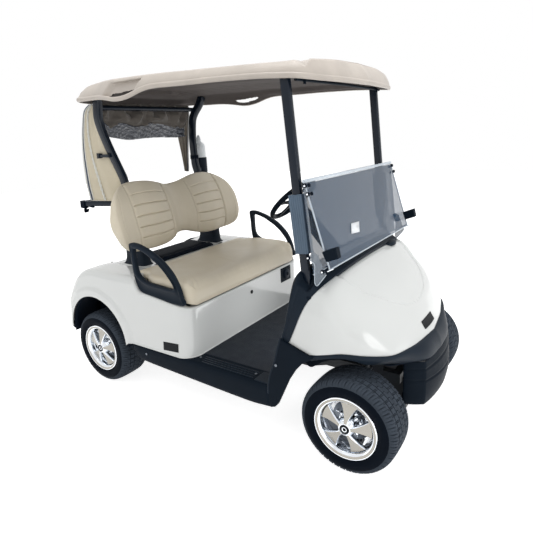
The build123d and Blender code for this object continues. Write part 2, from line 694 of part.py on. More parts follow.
with BuildPart() as dash_cowl:
    for side in SIDES:
        with BuildSketch(side_plane(side * PILLAR_OUT)):
            Polygon(*PILLAR_SIDE, align=None)
        extrude(amount=side * (PILLAR_OUT - PILLAR_IN))
    with BuildSketch(side_plane()):
        Polygon(*DASH_SIDE, align=None)
    extrude(amount=PILLAR_IN + 2, both=True)
    with BuildSketch(side_plane()):
        Polygon(*DASH_HOLLOW, align=None)
    extrude(amount=PILLAR_IN - 8, both=True, mode=Mode.SUBTRACT)
    add(steering_column.part, mode=Mode.SUBTRACT)
    add(front_struts.part, mode=Mode.SUBTRACT)
    add(front_cowl.part, mode=Mode.SUBTRACT)
save(dash_cowl.part, "dash_cowl")

# Pedals: brake and accelerator, each a pad on an arm from the toe board
with BuildPart() as pedals:
    for y, pad_wide, pad_high in ((250, 100, 70), (120, 60, 120)):
        with BuildSketch(side_plane(y)):
            Polygon((1240, FLOOR_Z), (1262, FLOOR_Z), (1240, 400), (1218, 400), align=None)
        extrude(amount=12, both=True)
        with BuildSketch(side_plane(y)):
            Polygon((1212, 390), (1226, 394), (1226 - pad_high * 0.28, 394 + pad_high),
                    (1212 - pad_high * 0.28, 390 + pad_high), align=None)
        extrude(amount=pad_wide / 2, both=True)
save(pedals.part, "pedals")

# Seat: pan and cushion turn up about a hinge at their rear edge
SEAT_REAR = 302
PAN_LINE = ((772, 629), (342, 685))
PAN_T = 12
HINGE_ARM = ((348, 684.3), (348, 695.5), (303, 710.5), (299.5, 716), (299.5, 732), (290.5, 732), (291, 708),
             (300, 699))
with BuildPart() as seat_pan:
    with BuildSketch(side_plane()):
        Polygon(*PAN_LINE, *[(s, z + PAN_T) for s, z in reversed(PAN_LINE)], align=None)
    extrude(amount=512, both=True)
    with BuildSketch(plan_plane(600)):
        Polygon((772, -512), (772, 512), (430, 512), (430, 478), (342, 478), (342, -478), (430, -478), (430, -512),
                align=None)
    extrude(amount=200, mode=Mode.INTERSECT)
    for hinge_y in (-SEAT_HINGE_Y, SEAT_HINGE_Y):
        with BuildSketch(side_plane(hinge_y)):
            Polygon(*HINGE_ARM, align=None)
            with Locations(SEAT_PIN):
                Circle(SEAT_PIN_R + 4)
                Circle(SEAT_PIN_R + RUN_GAP, mode=Mode.SUBTRACT)
        extrude(amount=KNUCKLE_HALF, both=True)
save(seat_pan.part, "seat_pan")

CUSHION_SIDE = ((776, 641), (779, 700), (768, 728), (730, 742), (540, 749), (330, 749), (308, 742), (302, 730),
                (302, 712), (342, 697.5), (772, 641.5))
CUSHION_PLAN = ((779, 505), (755, 528), (462, 526), (412, 477), (335, 474), (302, 440))
with BuildPart() as seat_cushion:
    with BuildSketch(side_plane()):
        Polygon(*CUSHION_SIDE, align=None)
    extrude(amount=540, both=True)
    with BuildSketch(plan_plane(600)):
        Polygon(*CUSHION_PLAN, *[(s, -y) for s, y in reversed(CUSHION_PLAN)], align=None)
    extrude(amount=200, mode=Mode.INTERSECT)
save(seat_cushion.part, "seat_cushion")

# Deck cover between the strut feet
with BuildPart() as deck_cover:
    with BuildSketch(side_plane()):
        Polygon((76, DECK_Z), (76, 766), (272, 760), (286, 752), (286, 742), (282, DECK_Z), align=None)
    extrude(amount=236, both=True)
save(deck_cover.part, "deck_cover")

# Hip restraints: closed loops beside the seat
LOOP_OUTER = ((376, 738), (372, 925), (435, 934), (534, 899), (650, 830), (722, 745), (758, 690), (752, 629),
              (426, 669))
LOOP_INNER = ((404, 760), (401, 898), (436, 905), (520, 872), (622, 806), (688, 730), (706, 686), (640, 688),
              (440, 712))
with BuildPart() as hip_restraints:
    for side in SIDES:
        with BuildSketch(side_plane(side * 575)):
            Polygon(*LOOP_OUTER, align=None)
            Polygon(*LOOP_INNER, align=None, mode=Mode.SUBTRACT)
        extrude(amount=side * 33)
save(hip_restraints.part, "hip_restraints")

# Backrest: a plan section swept up its lean, trimmed to a two-lobed front outline
LEAN = 0.253
BACK_PLAN = ((278, 0), (276, 300), (292, 430), (335, 520), (330, 548), (290, 556), (245, 540),
             (BACK_REAR, 440), (BACK_REAR, 0))
with BuildPart() as backrest_cushion:
    for height in (BACK_LOW, BACK_HIGH):
        lean = LEAN * (height - BACK_LOW)
        points = [(back_rear(height) if s == BACK_REAR else s - lean, y) for s, y in BACK_PLAN]
        with BuildSketch(plan_plane(height)):
            Polygon(*points, *[(s, -y) for s, y in reversed(points[1:-1])], align=None)
    loft(ruled=True)
    with BuildSketch(cross_plane(0)):
        with BuildLine():
            ThreePointArc((0, 1196), (80, 1206), (150, 1226))
            ThreePointArc((150, 1226), (300, BACK_HIGH - 2), (450, 1206))
            ThreePointArc((450, 1206), (542, 1130), (556, 1020))
            ThreePointArc((556, 1020), (540, 930), (480, 862))
            ThreePointArc((480, 862), (330, BACK_LOW + 2), (150, 858))
            ThreePointArc((150, 858), (80, 876), (0, 882))
            Line((0, 882), (0, 1196))
        make_face()
        mirror(about=Plane.YZ)
    extrude(amount=500, mode=Mode.INTERSECT)
save(backrest_cushion.part, "backrest_cushion")

# Bag rack: a U of flat bar behind the struts
with BuildPart() as bag_rack:
    with BuildSketch(plan_plane(1092)):
        for side in SIDES:
            Polygon((95, side * 304), (95, side * 332), (-206, side * 414), (-230, side * 414), (-230, side * 388),
                    (-206, side * 388), align=None)
        with Locations((-218, 0)):
            Rectangle(24, 790)
    extrude(amount=34)
save(bag_rack.part, "bag_rack")

# Rain cover: the right sheet hangs open, the left one is gathered, with a rolled valance and its clear strip
COVER_RIGHT = ((20, 1690), (-22, 1683), (-87, 1620), (-121, 1493), (-137, 1358), (-167, 1130), (85, 1130),
               (78, 1240), (50, 1430), (28, 1560))
COVER_LEFT = ((20, 1690), (-30, 1688), (-74, 1545), (-80, 1257), (-34, 1233), (8, 1418), (20, 1540))
COVER_Y, COVER_T = 392, 6
with BuildPart() as cover_sides:
    for side, outline in ((-1, COVER_RIGHT), (1, COVER_LEFT)):
        with BuildSketch(side_plane(side * COVER_Y)):
            Polygon(*outline, align=None)
        extrude(amount=COVER_T / 2, both=True)
save(cover_sides.part, "cover_sides")

with BuildPart() as cover_valance:
    with BuildSketch(side_plane()):
        Polygon((6, 1688), (14, 1688), (14, 1556), (6, 1556), align=None)
    extrude(amount=372, both=True)
save(cover_valance.part, "cover_valance")

with BuildPart() as cover_window:
    with BuildSketch(side_plane()):
        Polygon((8, 1556), (12, 1556), (12, 1482), (8, 1482), align=None)
    extrude(amount=330, both=True)
save(cover_window.part, "cover_window")

# Sand bottle in its holder beside the left strut
BOTTLE = (33, 440)
with BuildPart() as bottle_holder:
    with BuildSketch(plan_plane(1150)):
        with Locations(BOTTLE):
            Circle(48)
    extrude(amount=186)
    with BuildSketch(plan_plane(1156)):
        with Locations(BOTTLE):
            Circle(44)
    extrude(amount=200, mode=Mode.SUBTRACT)
    with BuildSketch(plan_plane(1225)):
        Polygon((58, 408), (80, 408), (108, 336), (88, 336), align=None)
    extrude(amount=40)
    add(rear_struts.part, mode=Mode.SUBTRACT)
    with BuildSketch(plan_plane(1156)):
        with Locations(BOTTLE):
            Circle(44)
    extrude(amount=200, mode=Mode.SUBTRACT)
save(bottle_holder.part, "bottle_holder")

with BuildPart() as sand_bottle:
    with BuildSketch(Plane(origin=(REAR_X + BOTTLE[0], BOTTLE[1], 0), x_dir=(1, 0, 0), z_dir=(0, -1, 0))):
        Polygon((0, 1156), (43.5, 1156), (43.5, 1372), (34, 1388), (18, 1398), (18, 1440), (10, 1448), (10, 1494),
                (0, 1494), align=None)
    revolve(axis=Axis((REAR_X + BOTTLE[0], BOTTLE[1], 0), (0, 0, 1)))
save(sand_bottle.part, "sand_bottle")
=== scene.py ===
"""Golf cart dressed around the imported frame: modelled panels, seats, wheels and materials.

Places are written as (station, y, z) in millimetres, where a station is the distance ahead of the
rear axle, and at() turns them into metres in the row frame.
"""
import math

import bpy
import bmesh
import numpy as np
from mathutils import Matrix, Vector


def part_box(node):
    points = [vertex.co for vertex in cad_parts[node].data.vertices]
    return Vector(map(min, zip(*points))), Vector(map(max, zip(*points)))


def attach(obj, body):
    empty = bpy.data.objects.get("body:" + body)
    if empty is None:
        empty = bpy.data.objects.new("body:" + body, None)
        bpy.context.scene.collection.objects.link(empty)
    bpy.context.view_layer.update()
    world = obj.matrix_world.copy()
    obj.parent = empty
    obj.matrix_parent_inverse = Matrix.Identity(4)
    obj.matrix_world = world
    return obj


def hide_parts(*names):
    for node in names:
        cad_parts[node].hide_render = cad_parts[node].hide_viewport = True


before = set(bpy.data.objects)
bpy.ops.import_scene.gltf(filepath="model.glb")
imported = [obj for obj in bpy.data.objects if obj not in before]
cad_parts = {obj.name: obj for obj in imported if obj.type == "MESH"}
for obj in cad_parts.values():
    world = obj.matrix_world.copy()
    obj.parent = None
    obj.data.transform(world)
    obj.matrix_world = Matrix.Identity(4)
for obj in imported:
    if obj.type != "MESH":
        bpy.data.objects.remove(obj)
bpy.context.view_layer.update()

MM = 0.001
SIDES = (-1, 1)


def middle(node):
    low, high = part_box(node)
    return (low + high) / 2


REAR_X = middle("tyre_rear_left").x


def at(station, y, z):
    return (REAR_X + station * MM, y * MM, z * MM)


# ---------------------------------------------------------------- mesh tools

def grid_faces(rows, cols, wrap_rows=False, wrap_cols=False, start=0):
    faces = []
    for i in range(rows if wrap_rows else rows - 1):
        for j in range(cols if wrap_cols else cols - 1):
            k, m = (i + 1) % rows, (j + 1) % cols
            faces.append((start + i * cols + j, start + i * cols + m,
                          start + k * cols + m, start + k * cols + j))
    return faces


class Shape:
    """Vertices and faces gathered from several forms, in metres."""

    def __init__(self):
        self.verts = []
        self.faces = []
        self.slots = []

    def add(self, verts, faces, slot=0):
        start = len(self.verts)
        self.verts += [tuple(v) for v in verts]
        self.faces += [tuple(start + i for i in f) for f in faces]
        self.slots += [slot] * len(faces)
        return self

    def grid(self, rows, wrap_rows=False, wrap_cols=False, slot=0, caps=False):
        points = [p for row in rows for p in row]
        n, m = len(rows), len(rows[0])
        faces = grid_faces(n, m, wrap_rows, wrap_cols)
        if caps:
            faces += [tuple(range(m))[::-1], tuple(range((n - 1) * m, n * m))]
        if callable(slot):
            self.add(points, faces)
            self.slots[-len(faces):] = [slot(f[0] % m) for f in faces]
            return self
        return self.add(points, faces, slot)

    def prism(self, outline, low, high, plane="side", slot=0):
        """Closed outline in (station, z) carried across Y, in (station, y) up Z, or in (y, z) along."""
        place = {
            "side": lambda a, b, c: at(a, c, b),
            "plan": lambda a, b, c: at(a, b, c),
            "cross": lambda a, b, c: at(c, a, b),
        }[plane]
        n = len(outline)
        verts = [place(a, b, c) for c in (low, high) for a, b in outline]
        faces = [tuple(range(n))[::-1], tuple(range(n, 2 * n))]
        faces += [(i, (i + 1) % n, n + (i + 1) % n, n + i) for i in range(n)]
        return self.add(verts, faces, slot)

    def both(self, outline, inner, outer):
        """The same side outline on both sides of the cart, between two distances from its middle."""
        for side in SIDES:
            self.prism(outline, *sorted((side * inner, side * outer)))
        return self

    def mirrored(self, rows, **options):
        """The same grid of (station, y, z) places on both sides of the cart."""
        for side in SIDES:
            self.grid([[at(s, side * y, z) for s, y, z in row] for row in rows], **options)
        return self

    def lathe(self, profile, centre, axis, segments=48, slot=0, closed=True, share=1.0):
        """Profile of (along, radius) in millimetres turned about an axis through centre, in metres."""
        turn = Vector(axis).to_track_quat("Z", "Y").to_matrix()
        centre = Vector(centre)
        rows = []
        for i in range(segments):
            a = 2 * math.pi * share * i / segments
            rows.append([
                tuple(centre + turn @ Vector((r * MM * math.cos(a), r * MM * math.sin(a), h * MM)))
                for h, r in profile
            ])
        return self.grid(rows, wrap_rows=share == 1.0, wrap_cols=closed, slot=slot)

    def sweep(self, path, profile, closed=False, up=(0, 0, 1), slot=0, scales=None):
        """Profile of (side, up) in metres carried along a path in metres."""
        rows = frames_along(path, profile, closed, up, scales)
        return self.grid(rows, wrap_rows=closed, wrap_cols=True, slot=slot, caps=not closed)

    def tube(self, path, radius, closed=False, up=(0, 0, 1), sides=10, slot=0):
        return self.sweep(path, circle_profile(radius, sides), closed, up, slot)


def frames_along(path, profile, closed, up, scales):
    path = [Vector(p) for p in path]
    n = len(path)
    rows = []
    for i, p in enumerate(path):
        before = path[i - 1] if closed or i else p
        after = path[(i + 1) % n] if closed or i < n - 1 else p
        ahead = (after - before).normalized()
        side = ahead.cross(Vector(up)).normalized()
        rise = side.cross(ahead)
        sa, sb = scales[i] if scales else (1, 1)
        rows.append([tuple(p + side * a * sa + rise * b * sb) for a, b in profile])
    return rows


def circle_profile(radius, sides=10):
    return [
        (radius * MM * math.cos(2 * math.pi * k / sides), radius * MM * math.sin(2 * math.pi * k / sides))
        for k in range(sides)
    ]


def rounded_profile(wide, high, radius, steps=3):
    """Rounded rectangle in metres, from sizes in millimetres."""
    points = []
    for sx, sy, start in ((1, 1, 0), (-1, 1, 90), (-1, -1, 180), (1, -1, 270)):
        for k in range(steps + 1):
            a = math.radians(start + 90 * k / steps)
            points.append((
                (sx * (wide / 2 - radius) + radius * math.cos(a)) * MM,
                (sy * (high / 2 - radius) + radius * math.sin(a)) * MM,
            ))
    return points


def spline(points, count, closed=False):
    """Evenly spaced points on a smooth curve through the given points."""
    p = np.array(points, float)
    n = len(p)
    spans = n if closed else n - 1
    fine = []
    for i in range(spans):
        a, b, c, d = ((p[(i - 1) % n], p[i], p[(i + 1) % n], p[(i + 2) % n]) if closed
                      else (p[max(i - 1, 0)], p[i], p[i + 1], p[min(i + 2, n - 1)]))
        for t in np.linspace(0, 1, 24, endpoint=False):
            fine.append(0.5 * (2 * b + (c - a) * t + (2 * a - 5 * b + 4 * c - d) * t**2
                               + (3 * b - a - 3 * c + d) * t**3))
    fine.append(p[0] if closed else p[-1])
    fine = np.array(fine)
    gone = np.concatenate([[0], np.cumsum(np.linalg.norm(np.diff(fine, axis=0), axis=1))])
    where = np.linspace(0, gone[-1], count + 1)[:-1] if closed else np.linspace(0, gone[-1], count)
    return [tuple(float(np.interp(w, gone, fine[:, k])) for k in range(p.shape[1])) for w in where]


def table(rows, column):
    """Smooth function of the first column through one other column."""
    keys = [r[0] for r in rows]
    values = [r[column] for r in rows]
    slopes = np.gradient(values, keys)

    def look(x):
        x = min(max(x, keys[0]), keys[-1])
        i = min(max(int(np.searchsorted(keys, x)) - 1, 0), len(keys) - 2)
        h = keys[i + 1] - keys[i]
        t = (x - keys[i]) / h
        return ((2 * t**3 - 3 * t**2 + 1) * values[i] + (t**3 - 2 * t**2 + t) * h * slopes[i]
                + (3 * t**2 - 2 * t**3) * values[i + 1] + (t**3 - t**2) * h * slopes[i + 1])

    return look


def smoothstep(x, low, high):
    t = min(max((x - low) / (high - low), 0), 1)
    return t * t * (3 - 2 * t)


def signed_power(value, power):
    return math.copysign(abs(value) ** power, value)


def piece(name, shape, materials, replaces=(), body="chassis", bevel=0, segments=2, thick=0, sharp=35):
    """A mesh object from a Shape, with its finish, riding on a body."""
    mesh = bpy.data.meshes.new(name)
    mesh.from_pydata(shape.verts, [], shape.faces)
    work = bmesh.new()
    work.from_mesh(mesh)
    for face, slot_index in zip(work.faces, shape.slots):
        face.material_index = slot_index
    bmesh.ops.remove_doubles(work, verts=work.verts, dist=1e-5)
    bmesh.ops.recalc_face_normals(work, faces=work.faces)
    for face in work.faces:
        face.smooth = True
    work.to_mesh(mesh)
    work.free()
    obj = bpy.data.objects.new(name, mesh)
    bpy.context.collection.objects.link(obj)
    for m in materials if isinstance(materials, (list, tuple)) else [materials]:
        mesh.materials.append(m)
    if thick:
        solid = obj.modifiers.new("Thickness", "SOLIDIFY")
        solid.thickness = thick * MM
        solid.offset = -1
    if bevel:
        cut = obj.modifiers.new("Round", "BEVEL")
        cut.width = bevel * MM
        cut.segments = segments
        cut.limit_method = "ANGLE"
        cut.angle_limit = math.radians(sharp)
        cut.harden_normals = False
    mesh.set_sharp_from_angle(angle=math.radians(sharp + 15))
    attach(obj, body)
    if replaces:
        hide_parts(*([replaces] if isinstance(replaces, str) else replaces))
    return obj


# ---------------------------------------------------------------- materials

class Nodes:
    """A Principled material with short calls for its texture nodes."""

    def __init__(self, name, color, roughness, metallic=0.0, **sockets):
        self.material = bpy.data.materials.new(name)
        self.material.use_nodes = True
        self.tree = self.material.node_tree
        self.shader = self.tree.nodes["Principled BSDF"]
        self.shader.inputs["Base Color"].default_value = (*color, 1)
        self.shader.inputs["Roughness"].default_value = roughness
        self.shader.inputs["Metallic"].default_value = metallic
        for key, value in sockets.items():
            self.shader.inputs[key.replace("_", " ")].default_value = value
        self.where = self.tree.nodes.new("ShaderNodeTexCoord").outputs["Object"]
        self.color = color

    def feed(self, socket, value):
        """Link a socket from another node, or write its constant."""
        if isinstance(value, bpy.types.NodeSocket):
            self.tree.links.new(value, socket)
        else:
            socket.default_value = value

    def node(self, kind, **inputs):
        node = self.tree.nodes.new("ShaderNode" + kind)
        for key, value in inputs.items():
            self.feed(node.inputs[key.replace("_", " ")], value)
        return node

    def stretched(self, stretch):
        return self.node("Mapping", Vector=self.where,
                         Scale=stretch).outputs["Vector"] if stretch else self.where

    def noise(self, scale, detail=3, rough=0.5, stretch=None):
        where = self.stretched(stretch)
        return self.node("TexNoise", Vector=where, Scale=scale, Detail=detail, Roughness=rough).outputs["Fac"]

    def voronoi(self, scale, stretch=None):
        return self.node("TexVoronoi", Vector=self.stretched(stretch), Scale=scale).outputs["Distance"]

    def wave(self, scale, turn):
        turned = self.node("Mapping", Vector=self.where, Rotation=turn).outputs["Vector"]
        return self.node("TexWave", Vector=turned, Scale=scale).outputs["Fac"]

    def math(self, operation, a, b):
        node = self.node("Math")
        node.operation = operation
        self.feed(node.inputs[0], a)
        self.feed(node.inputs[1], b)
        return node.outputs[0]

    def ramp(self, value, low, high, from_low=0.0, from_high=1.0):
        limits = {"From Min": from_low, "From Max": from_high, "To Min": low, "To Max": high}
        return self.node("MapRange", Value=value, **limits).outputs["Result"]

    def mix(self, factor, below, above):
        """Base colour mixed from two colours, the first of them perhaps an earlier mix."""
        node = self.node("Mix")
        node.data_type = "RGBA"
        for socket, value in zip((0, 6, 7), (factor, below, above)):
            self.feed(node.inputs[socket], value)
        self.tree.links.new(node.outputs[2], self.shader.inputs["Base Color"])
        return node.outputs[2]

    def tint(self, factor, dark, light):
        """Base colour between two shares of the written colour."""
        return self.mix(factor, *((*(min(c * k, 1) for c in self.color), 1) for k in (dark, light)))

    def over(self, below, factor, color):
        """Another colour laid over the last one."""
        return self.mix(factor, below, (*color, 1))

    def rough(self, value, low, high):
        self.tree.links.new(self.ramp(value, low, high), self.shader.inputs["Roughness"])

    def bump(self, height, strength, distance):
        node = self.node("Bump", Height=height, Strength=strength, Distance=distance)
        self.tree.links.new(node.outputs["Normal"], self.shader.inputs["Normal"])

    def edges(self):
        return self.node("NewGeometry").outputs["Pointiness"]


def paint(name, color, roughness=0.18):
    m = Nodes(name, color, roughness, Coat_Weight=0.6, Coat_Roughness=0.05, Specular_IOR_Level=0.5)
    m.tint(m.noise(2.2, 2), 0.975, 1.015)
    m.rough(m.noise(30, 4), roughness - 0.03, roughness + 0.05)
    m.bump(m.noise(420, 2), 0.03, 0.0003)
    return m.material


def moulded(name, color, roughness=0.42, grain=900, depth=0.0004, gloss=0.28):
    m = Nodes(name, color, roughness, Specular_IOR_Level=gloss)
    base = m.tint(m.noise(9, 4), 0.8, 1.2)
    # Convex edges and rims are lighter in colour: a painted highlight.
    m.over(base, m.ramp(m.edges(), 0, 0.3, 0.53, 0.64), tuple(min(1, c * 2.2 + 0.008) for c in color))
    m.rough(m.noise(26, 3), roughness - 0.05, roughness + 0.08)
    m.bump(m.voronoi(grain), 0.15, depth)
    return m.material


def tube_paint(name, color, roughness=0.22):
    m = Nodes(name, color, roughness, Specular_IOR_Level=0.26)
    m.tint(m.noise(14, 3), 0.85, 1.25)
    m.rough(m.noise(60, 3), roughness - 0.04, roughness + 0.08)
    m.bump(m.noise(650, 2), 0.06, 0.0003)
    return m.material


def vinyl(name, color):
    m = Nodes(name, color, 0.42, Specular_IOR_Level=0.45)
    base = m.tint(m.noise(7, 4), 0.93, 1.05)
    # Hollows and sewn creases are darker in colour: painted shade.
    m.over(base, m.ramp(m.edges(), 0.5, 0, 0.40, 0.495), tuple(c * 0.55 for c in color))
    m.rough(m.noise(16, 3), 0.36, 0.5)
    pores = m.voronoi(520, stretch=(1, 1.2, 1))
    wrinkle = m.noise(38, 5, 0.6)
    m.bump(m.math("ADD", m.math("MULTIPLY", pores, 0.35), m.math("MULTIPLY", wrinkle, 1.1)), 0.16, 0.0011)
    return m.material


def canvas(name, color):
    m = Nodes(name, color, 0.86, Sheen_Weight=0.25, Sheen_Roughness=0.5)
    m.tint(m.noise(12, 4), 0.88, 1.08)
    warp = m.wave(190, (0, 0, 0))
    weft = m.wave(190, (0, math.radians(90), 0))
    m.bump(m.math("ADD", m.math("MULTIPLY", warp, weft), m.math("MULTIPLY", m.noise(24, 3), 1.4)), 0.3,
           0.0008)
    return m.material


def metal(name, color, roughness, brush=0.0):
    m = Nodes(name, color, roughness, metallic=1.0)
    m.tint(m.noise(20, 3), 0.92, 1.04)
    m.rough(m.noise(45, 4), max(roughness - 0.03, 0.02), roughness + 0.06)
    if brush:
        m.bump(m.noise(500, 2, stretch=(1, 0.05, 1)), brush, 0.0002)
    return m.material


def rubber(name, color, roughness=0.72, gloss=0.12):
    m = Nodes(name, color, roughness, Specular_IOR_Level=gloss)
    base = m.tint(m.noise(18, 5), 0.75, 1.35)
    # Convex tread-block edges are lighter in colour: a painted highlight.
    m.over(base, m.ramp(m.edges(), 0, 0.5, 0.51, 0.58), tuple(min(1, c * 2.4 + 0.004) for c in color))
    m.rough(m.noise(50, 3), roughness - 0.1, roughness + 0.12)
    m.bump(m.noise(750, 3), 0.25, 0.0005)
    return m.material


def mat_rubber(name, color):
    """Floor mat with a fine diamond tread."""
    m = Nodes(name, color, 0.55, Specular_IOR_Level=0.2)
    m.tint(m.noise(7, 4), 0.8, 1.25)
    one = m.wave(45, (0, 0, math.radians(45)))
    two = m.wave(45, (0, 0, math.radians(-45)))
    m.rough(m.noise(20, 3), 0.45, 0.66)
    m.bump(m.math("MAXIMUM", one, two), 0.55, 0.0014)
    return m.material


def clear_sheet(name, color, alpha, roughness=0.06):
    m = Nodes(name, color, roughness, Specular_IOR_Level=0.6, Alpha=alpha, Coat_Weight=0.3,
              Coat_Roughness=0.03)
    m.tint(m.noise(3.5, 2, 0.6), 0.82, 1.2)
    m.rough(m.noise(4, 2), roughness * 0.6, roughness * 1.8)
    m.bump(m.noise(2.2, 1), 0.10, 0.01)
    m.material.surface_render_method = "BLENDED"
    return m.material


def milky(name, color):
    m = Nodes(name, color, 0.32, Subsurface_Weight=0.3, Subsurface_Radius=(0.01, 0.01, 0.01))
    m.tint(m.noise(20, 3), 0.94, 1.03)
    m.rough(m.noise(40, 3), 0.28, 0.42)
    m.bump(m.noise(90, 3), 0.08, 0.0006)
    return m.material


WHITE = paint("white_gel", (0.62, 0.635, 0.625))
ROOF = moulded("roof_beige", (0.505, 0.455, 0.405), 0.38, 700, 0.0003, 0.4)
# The roof's underside is a much darker copy of its beige: painted shade under the roof.
ROOF_UNDER_PAINTED_SHADE = moulded("roof_underside", (0.10, 0.088, 0.084), 0.7, 300, 0.0006, 0.06)
# The blue cast of the black, satin, liner and tube colours stands in for sky reflected in black plastic and
# paint: painted reflection.
BLACK = moulded("black_moulded", (0.004, 0.008, 0.014), 0.5, gloss=0.05)
SATIN = moulded("dark_satin", (0.010, 0.016, 0.025), 0.40, 1100, 0.0002, 0.08)
LINER = moulded("liner_black", (0.002, 0.005, 0.011), 0.6, gloss=0.05)
TUBE = tube_paint("black_tube", (0.004, 0.009, 0.018))
STEEL = tube_paint("coated_steel", (0.03, 0.034, 0.04), 0.4)
SLEEVE = moulded("sleeve_grey_blue", (0.085, 0.125, 0.175), 0.42)
VINYL = vinyl("tan_vinyl", (0.66, 0.595, 0.47))
CANVAS = canvas("tan_canvas", (0.62, 0.555, 0.42))
CANVAS_DARK = canvas("shaded_canvas", (0.20, 0.175, 0.145))
# The valance's canvas is a far darker tan: painted shade under the roof.
VALANCE_PAINTED_SHADE = canvas("valance_canvas_painted_shade", (0.11, 0.097, 0.084))
PIPING = canvas("white_piping", (0.72, 0.72, 0.67))
ZIP = moulded("zip_tape", (0.09, 0.11, 0.16), 0.6)
CHROME = metal("rim_chrome", (0.82, 0.85, 0.89), 0.07)
# The grey-brown of the spoke faces and the ring inside the lip stands in for the ground reflected in their
# chrome: painted reflection.
SPOKE = metal("spoke_face_painted_reflection", (0.33, 0.315, 0.285), 0.2, 0.05)
DRUM = metal("drum_steel", (0.20, 0.22, 0.25), 0.4)
# The blue cast of the tyre and mat colours is painted sky reflection as well.
TYRE = rubber("tread_rubber", (0.030, 0.038, 0.050))
SIDEWALL = rubber("sidewall_rubber", (0.002, 0.004, 0.008), 0.6, 0.04)
MAT = mat_rubber("floor_mat", (0.010, 0.015, 0.024))
GLASS = clear_sheet("tinted_acrylic", (0.035, 0.075, 0.135), 0.56)
FLANGE_GLASS = clear_sheet("flange_acrylic", (0.20, 0.24, 0.29), 0.6)
EDGE_GLASS = clear_sheet("acrylic_edge", (0.62, 0.70, 0.78), 0.72)
VINYL_CLEAR = clear_sheet("clear_vinyl", (0.085, 0.095, 0.12), 0.80, 0.12)
BOTTLE_WHITE = milky("bottle_white", (0.80, 0.84, 0.86))
LABEL = paint("blank_label", (0.80, 0.83, 0.86), 0.4)
PLATE = moulded("blank_plate", (0.006, 0.007, 0.009), 0.45, gloss=0.08)


# ---------------------------------------------------------------- stage, light and camera

CAMERA_AT = (1.6532, -2.1559, 1.4752)
AZIMUTH, ELEVATION, ROLL = 34.99, 16.02, 2.89
FOCAL_PIXELS, FRAME_PIXELS, SENSOR = 459.9, 533, 36.0


def make_camera():
    a, e, r = (math.radians(v) for v in (AZIMUTH, ELEVATION, ROLL))
    back = Vector((math.sin(a) * math.cos(e), -math.cos(a) * math.cos(e), math.sin(e)))
    right = (-back).cross(Vector((0, 0, 1))).normalized()
    down = (-back).cross(right)
    across = right * math.cos(r) + down * math.sin(r)
    rise = right * math.sin(r) - down * math.cos(r)
    data = bpy.data.cameras.new("camera")
    data.sensor_width = SENSOR
    data.lens = FOCAL_PIXELS / FRAME_PIXELS * SENSOR
    camera = bpy.data.objects.new("camera", data)
    bpy.context.collection.objects.link(camera)
    turn = Matrix((across, rise, back)).transposed().to_4x4()
    camera.matrix_world = Matrix.Translation(CAMERA_AT) @ turn
    bpy.context.scene.camera = camera


FLOOR_GLOW = 0.8


def camera_white(tree, strength_node_input, plain, white=1.0):
    """White for rays that show the background, and plain for the light on the object."""
    path = tree.nodes.new("ShaderNodeLightPath")
    seen = path.outputs["Is Camera Ray"]
    for other in ("Is Glossy Ray", "Is Transmission Ray"):
        most = tree.nodes.new("ShaderNodeMath")
        most.operation = "MAXIMUM"
        tree.links.new(seen, most.inputs[0])
        tree.links.new(path.outputs[other], most.inputs[1])
        seen = most.outputs[0]
    ramp = tree.nodes.new("ShaderNodeMapRange")
    ramp.inputs["To Min"].default_value = plain
    ramp.inputs["To Max"].default_value = white
    tree.links.new(seen, ramp.inputs["Value"])
    tree.links.new(ramp.outputs["Result"], strength_node_input)


def make_world():
    world = bpy.data.worlds.new("studio")
    bpy.context.scene.world = world
    world.use_nodes = True
    background = world.node_tree.nodes["Background"]
    background.inputs["Color"].default_value = (1, 1, 1, 1)
    camera_white(world.node_tree, background.inputs["Strength"], 0.88)


def area_light(name, place, target, size, power):
    data = bpy.data.lights.new(name, "AREA")
    data.shape = "DISK"
    data.size = size
    data.energy = power
    light = bpy.data.objects.new(name, data)
    bpy.context.collection.objects.link(light)
    light.location = place
    light.rotation_euler = (Vector(target) - Vector(place)).to_track_quat("-Z", "Y").to_euler()
    return light


def make_floor():
    mesh = bpy.data.meshes.new("studio_floor")
    h = 14
    mesh.from_pydata([(-h, -h, 0), (h, -h, 0), (h, h, 0), (-h, h, 0)], [], [(0, 1, 2, 3)])
    floor = bpy.data.objects.new("studio_floor", mesh)
    bpy.context.collection.objects.link(floor)
    material = bpy.data.materials.new("studio_floor")
    material.use_nodes = True
    shader = material.node_tree.nodes["Principled BSDF"]
    shader.inputs["Base Color"].default_value = (0.80, 0.80, 0.80, 1)
    shader.inputs["Roughness"].default_value = 0.9
    shader.inputs["Specular IOR Level"].default_value = 0.1
    shader.inputs["Emission Color"].default_value = (1, 1, 1, 1)
    camera_white(material.node_tree, shader.inputs["Emission Strength"], 0.0, FLOOR_GLOW)
    mesh.materials.append(material)


make_camera()
make_world()
make_floor()
area_light("key", (-1.6, -4.2, 4.4), (0.0, 0, 0.6), 3.2, 4)
area_light("front", (2.5, -3.7, 1.5), (0.0, 0, 0.7), 2.4, 6)
area_light("ahead", (4.6, -1.2, 1.0), (-0.3, 0, 0.6), 2.2, 36)
fill = area_light("cabin", (0.5, -0.05, 0.43), (-0.02, -0.05, 0.43), 0.5, 2.2)
fill.visible_camera = False
area_light("top", (0.2, 0.2, 5.4), (0, 0, 0.6), 3.0, 110)
bpy.context.scene.view_settings.view_transform = "Standard"


# ---------------------------------------------------------------- wheels

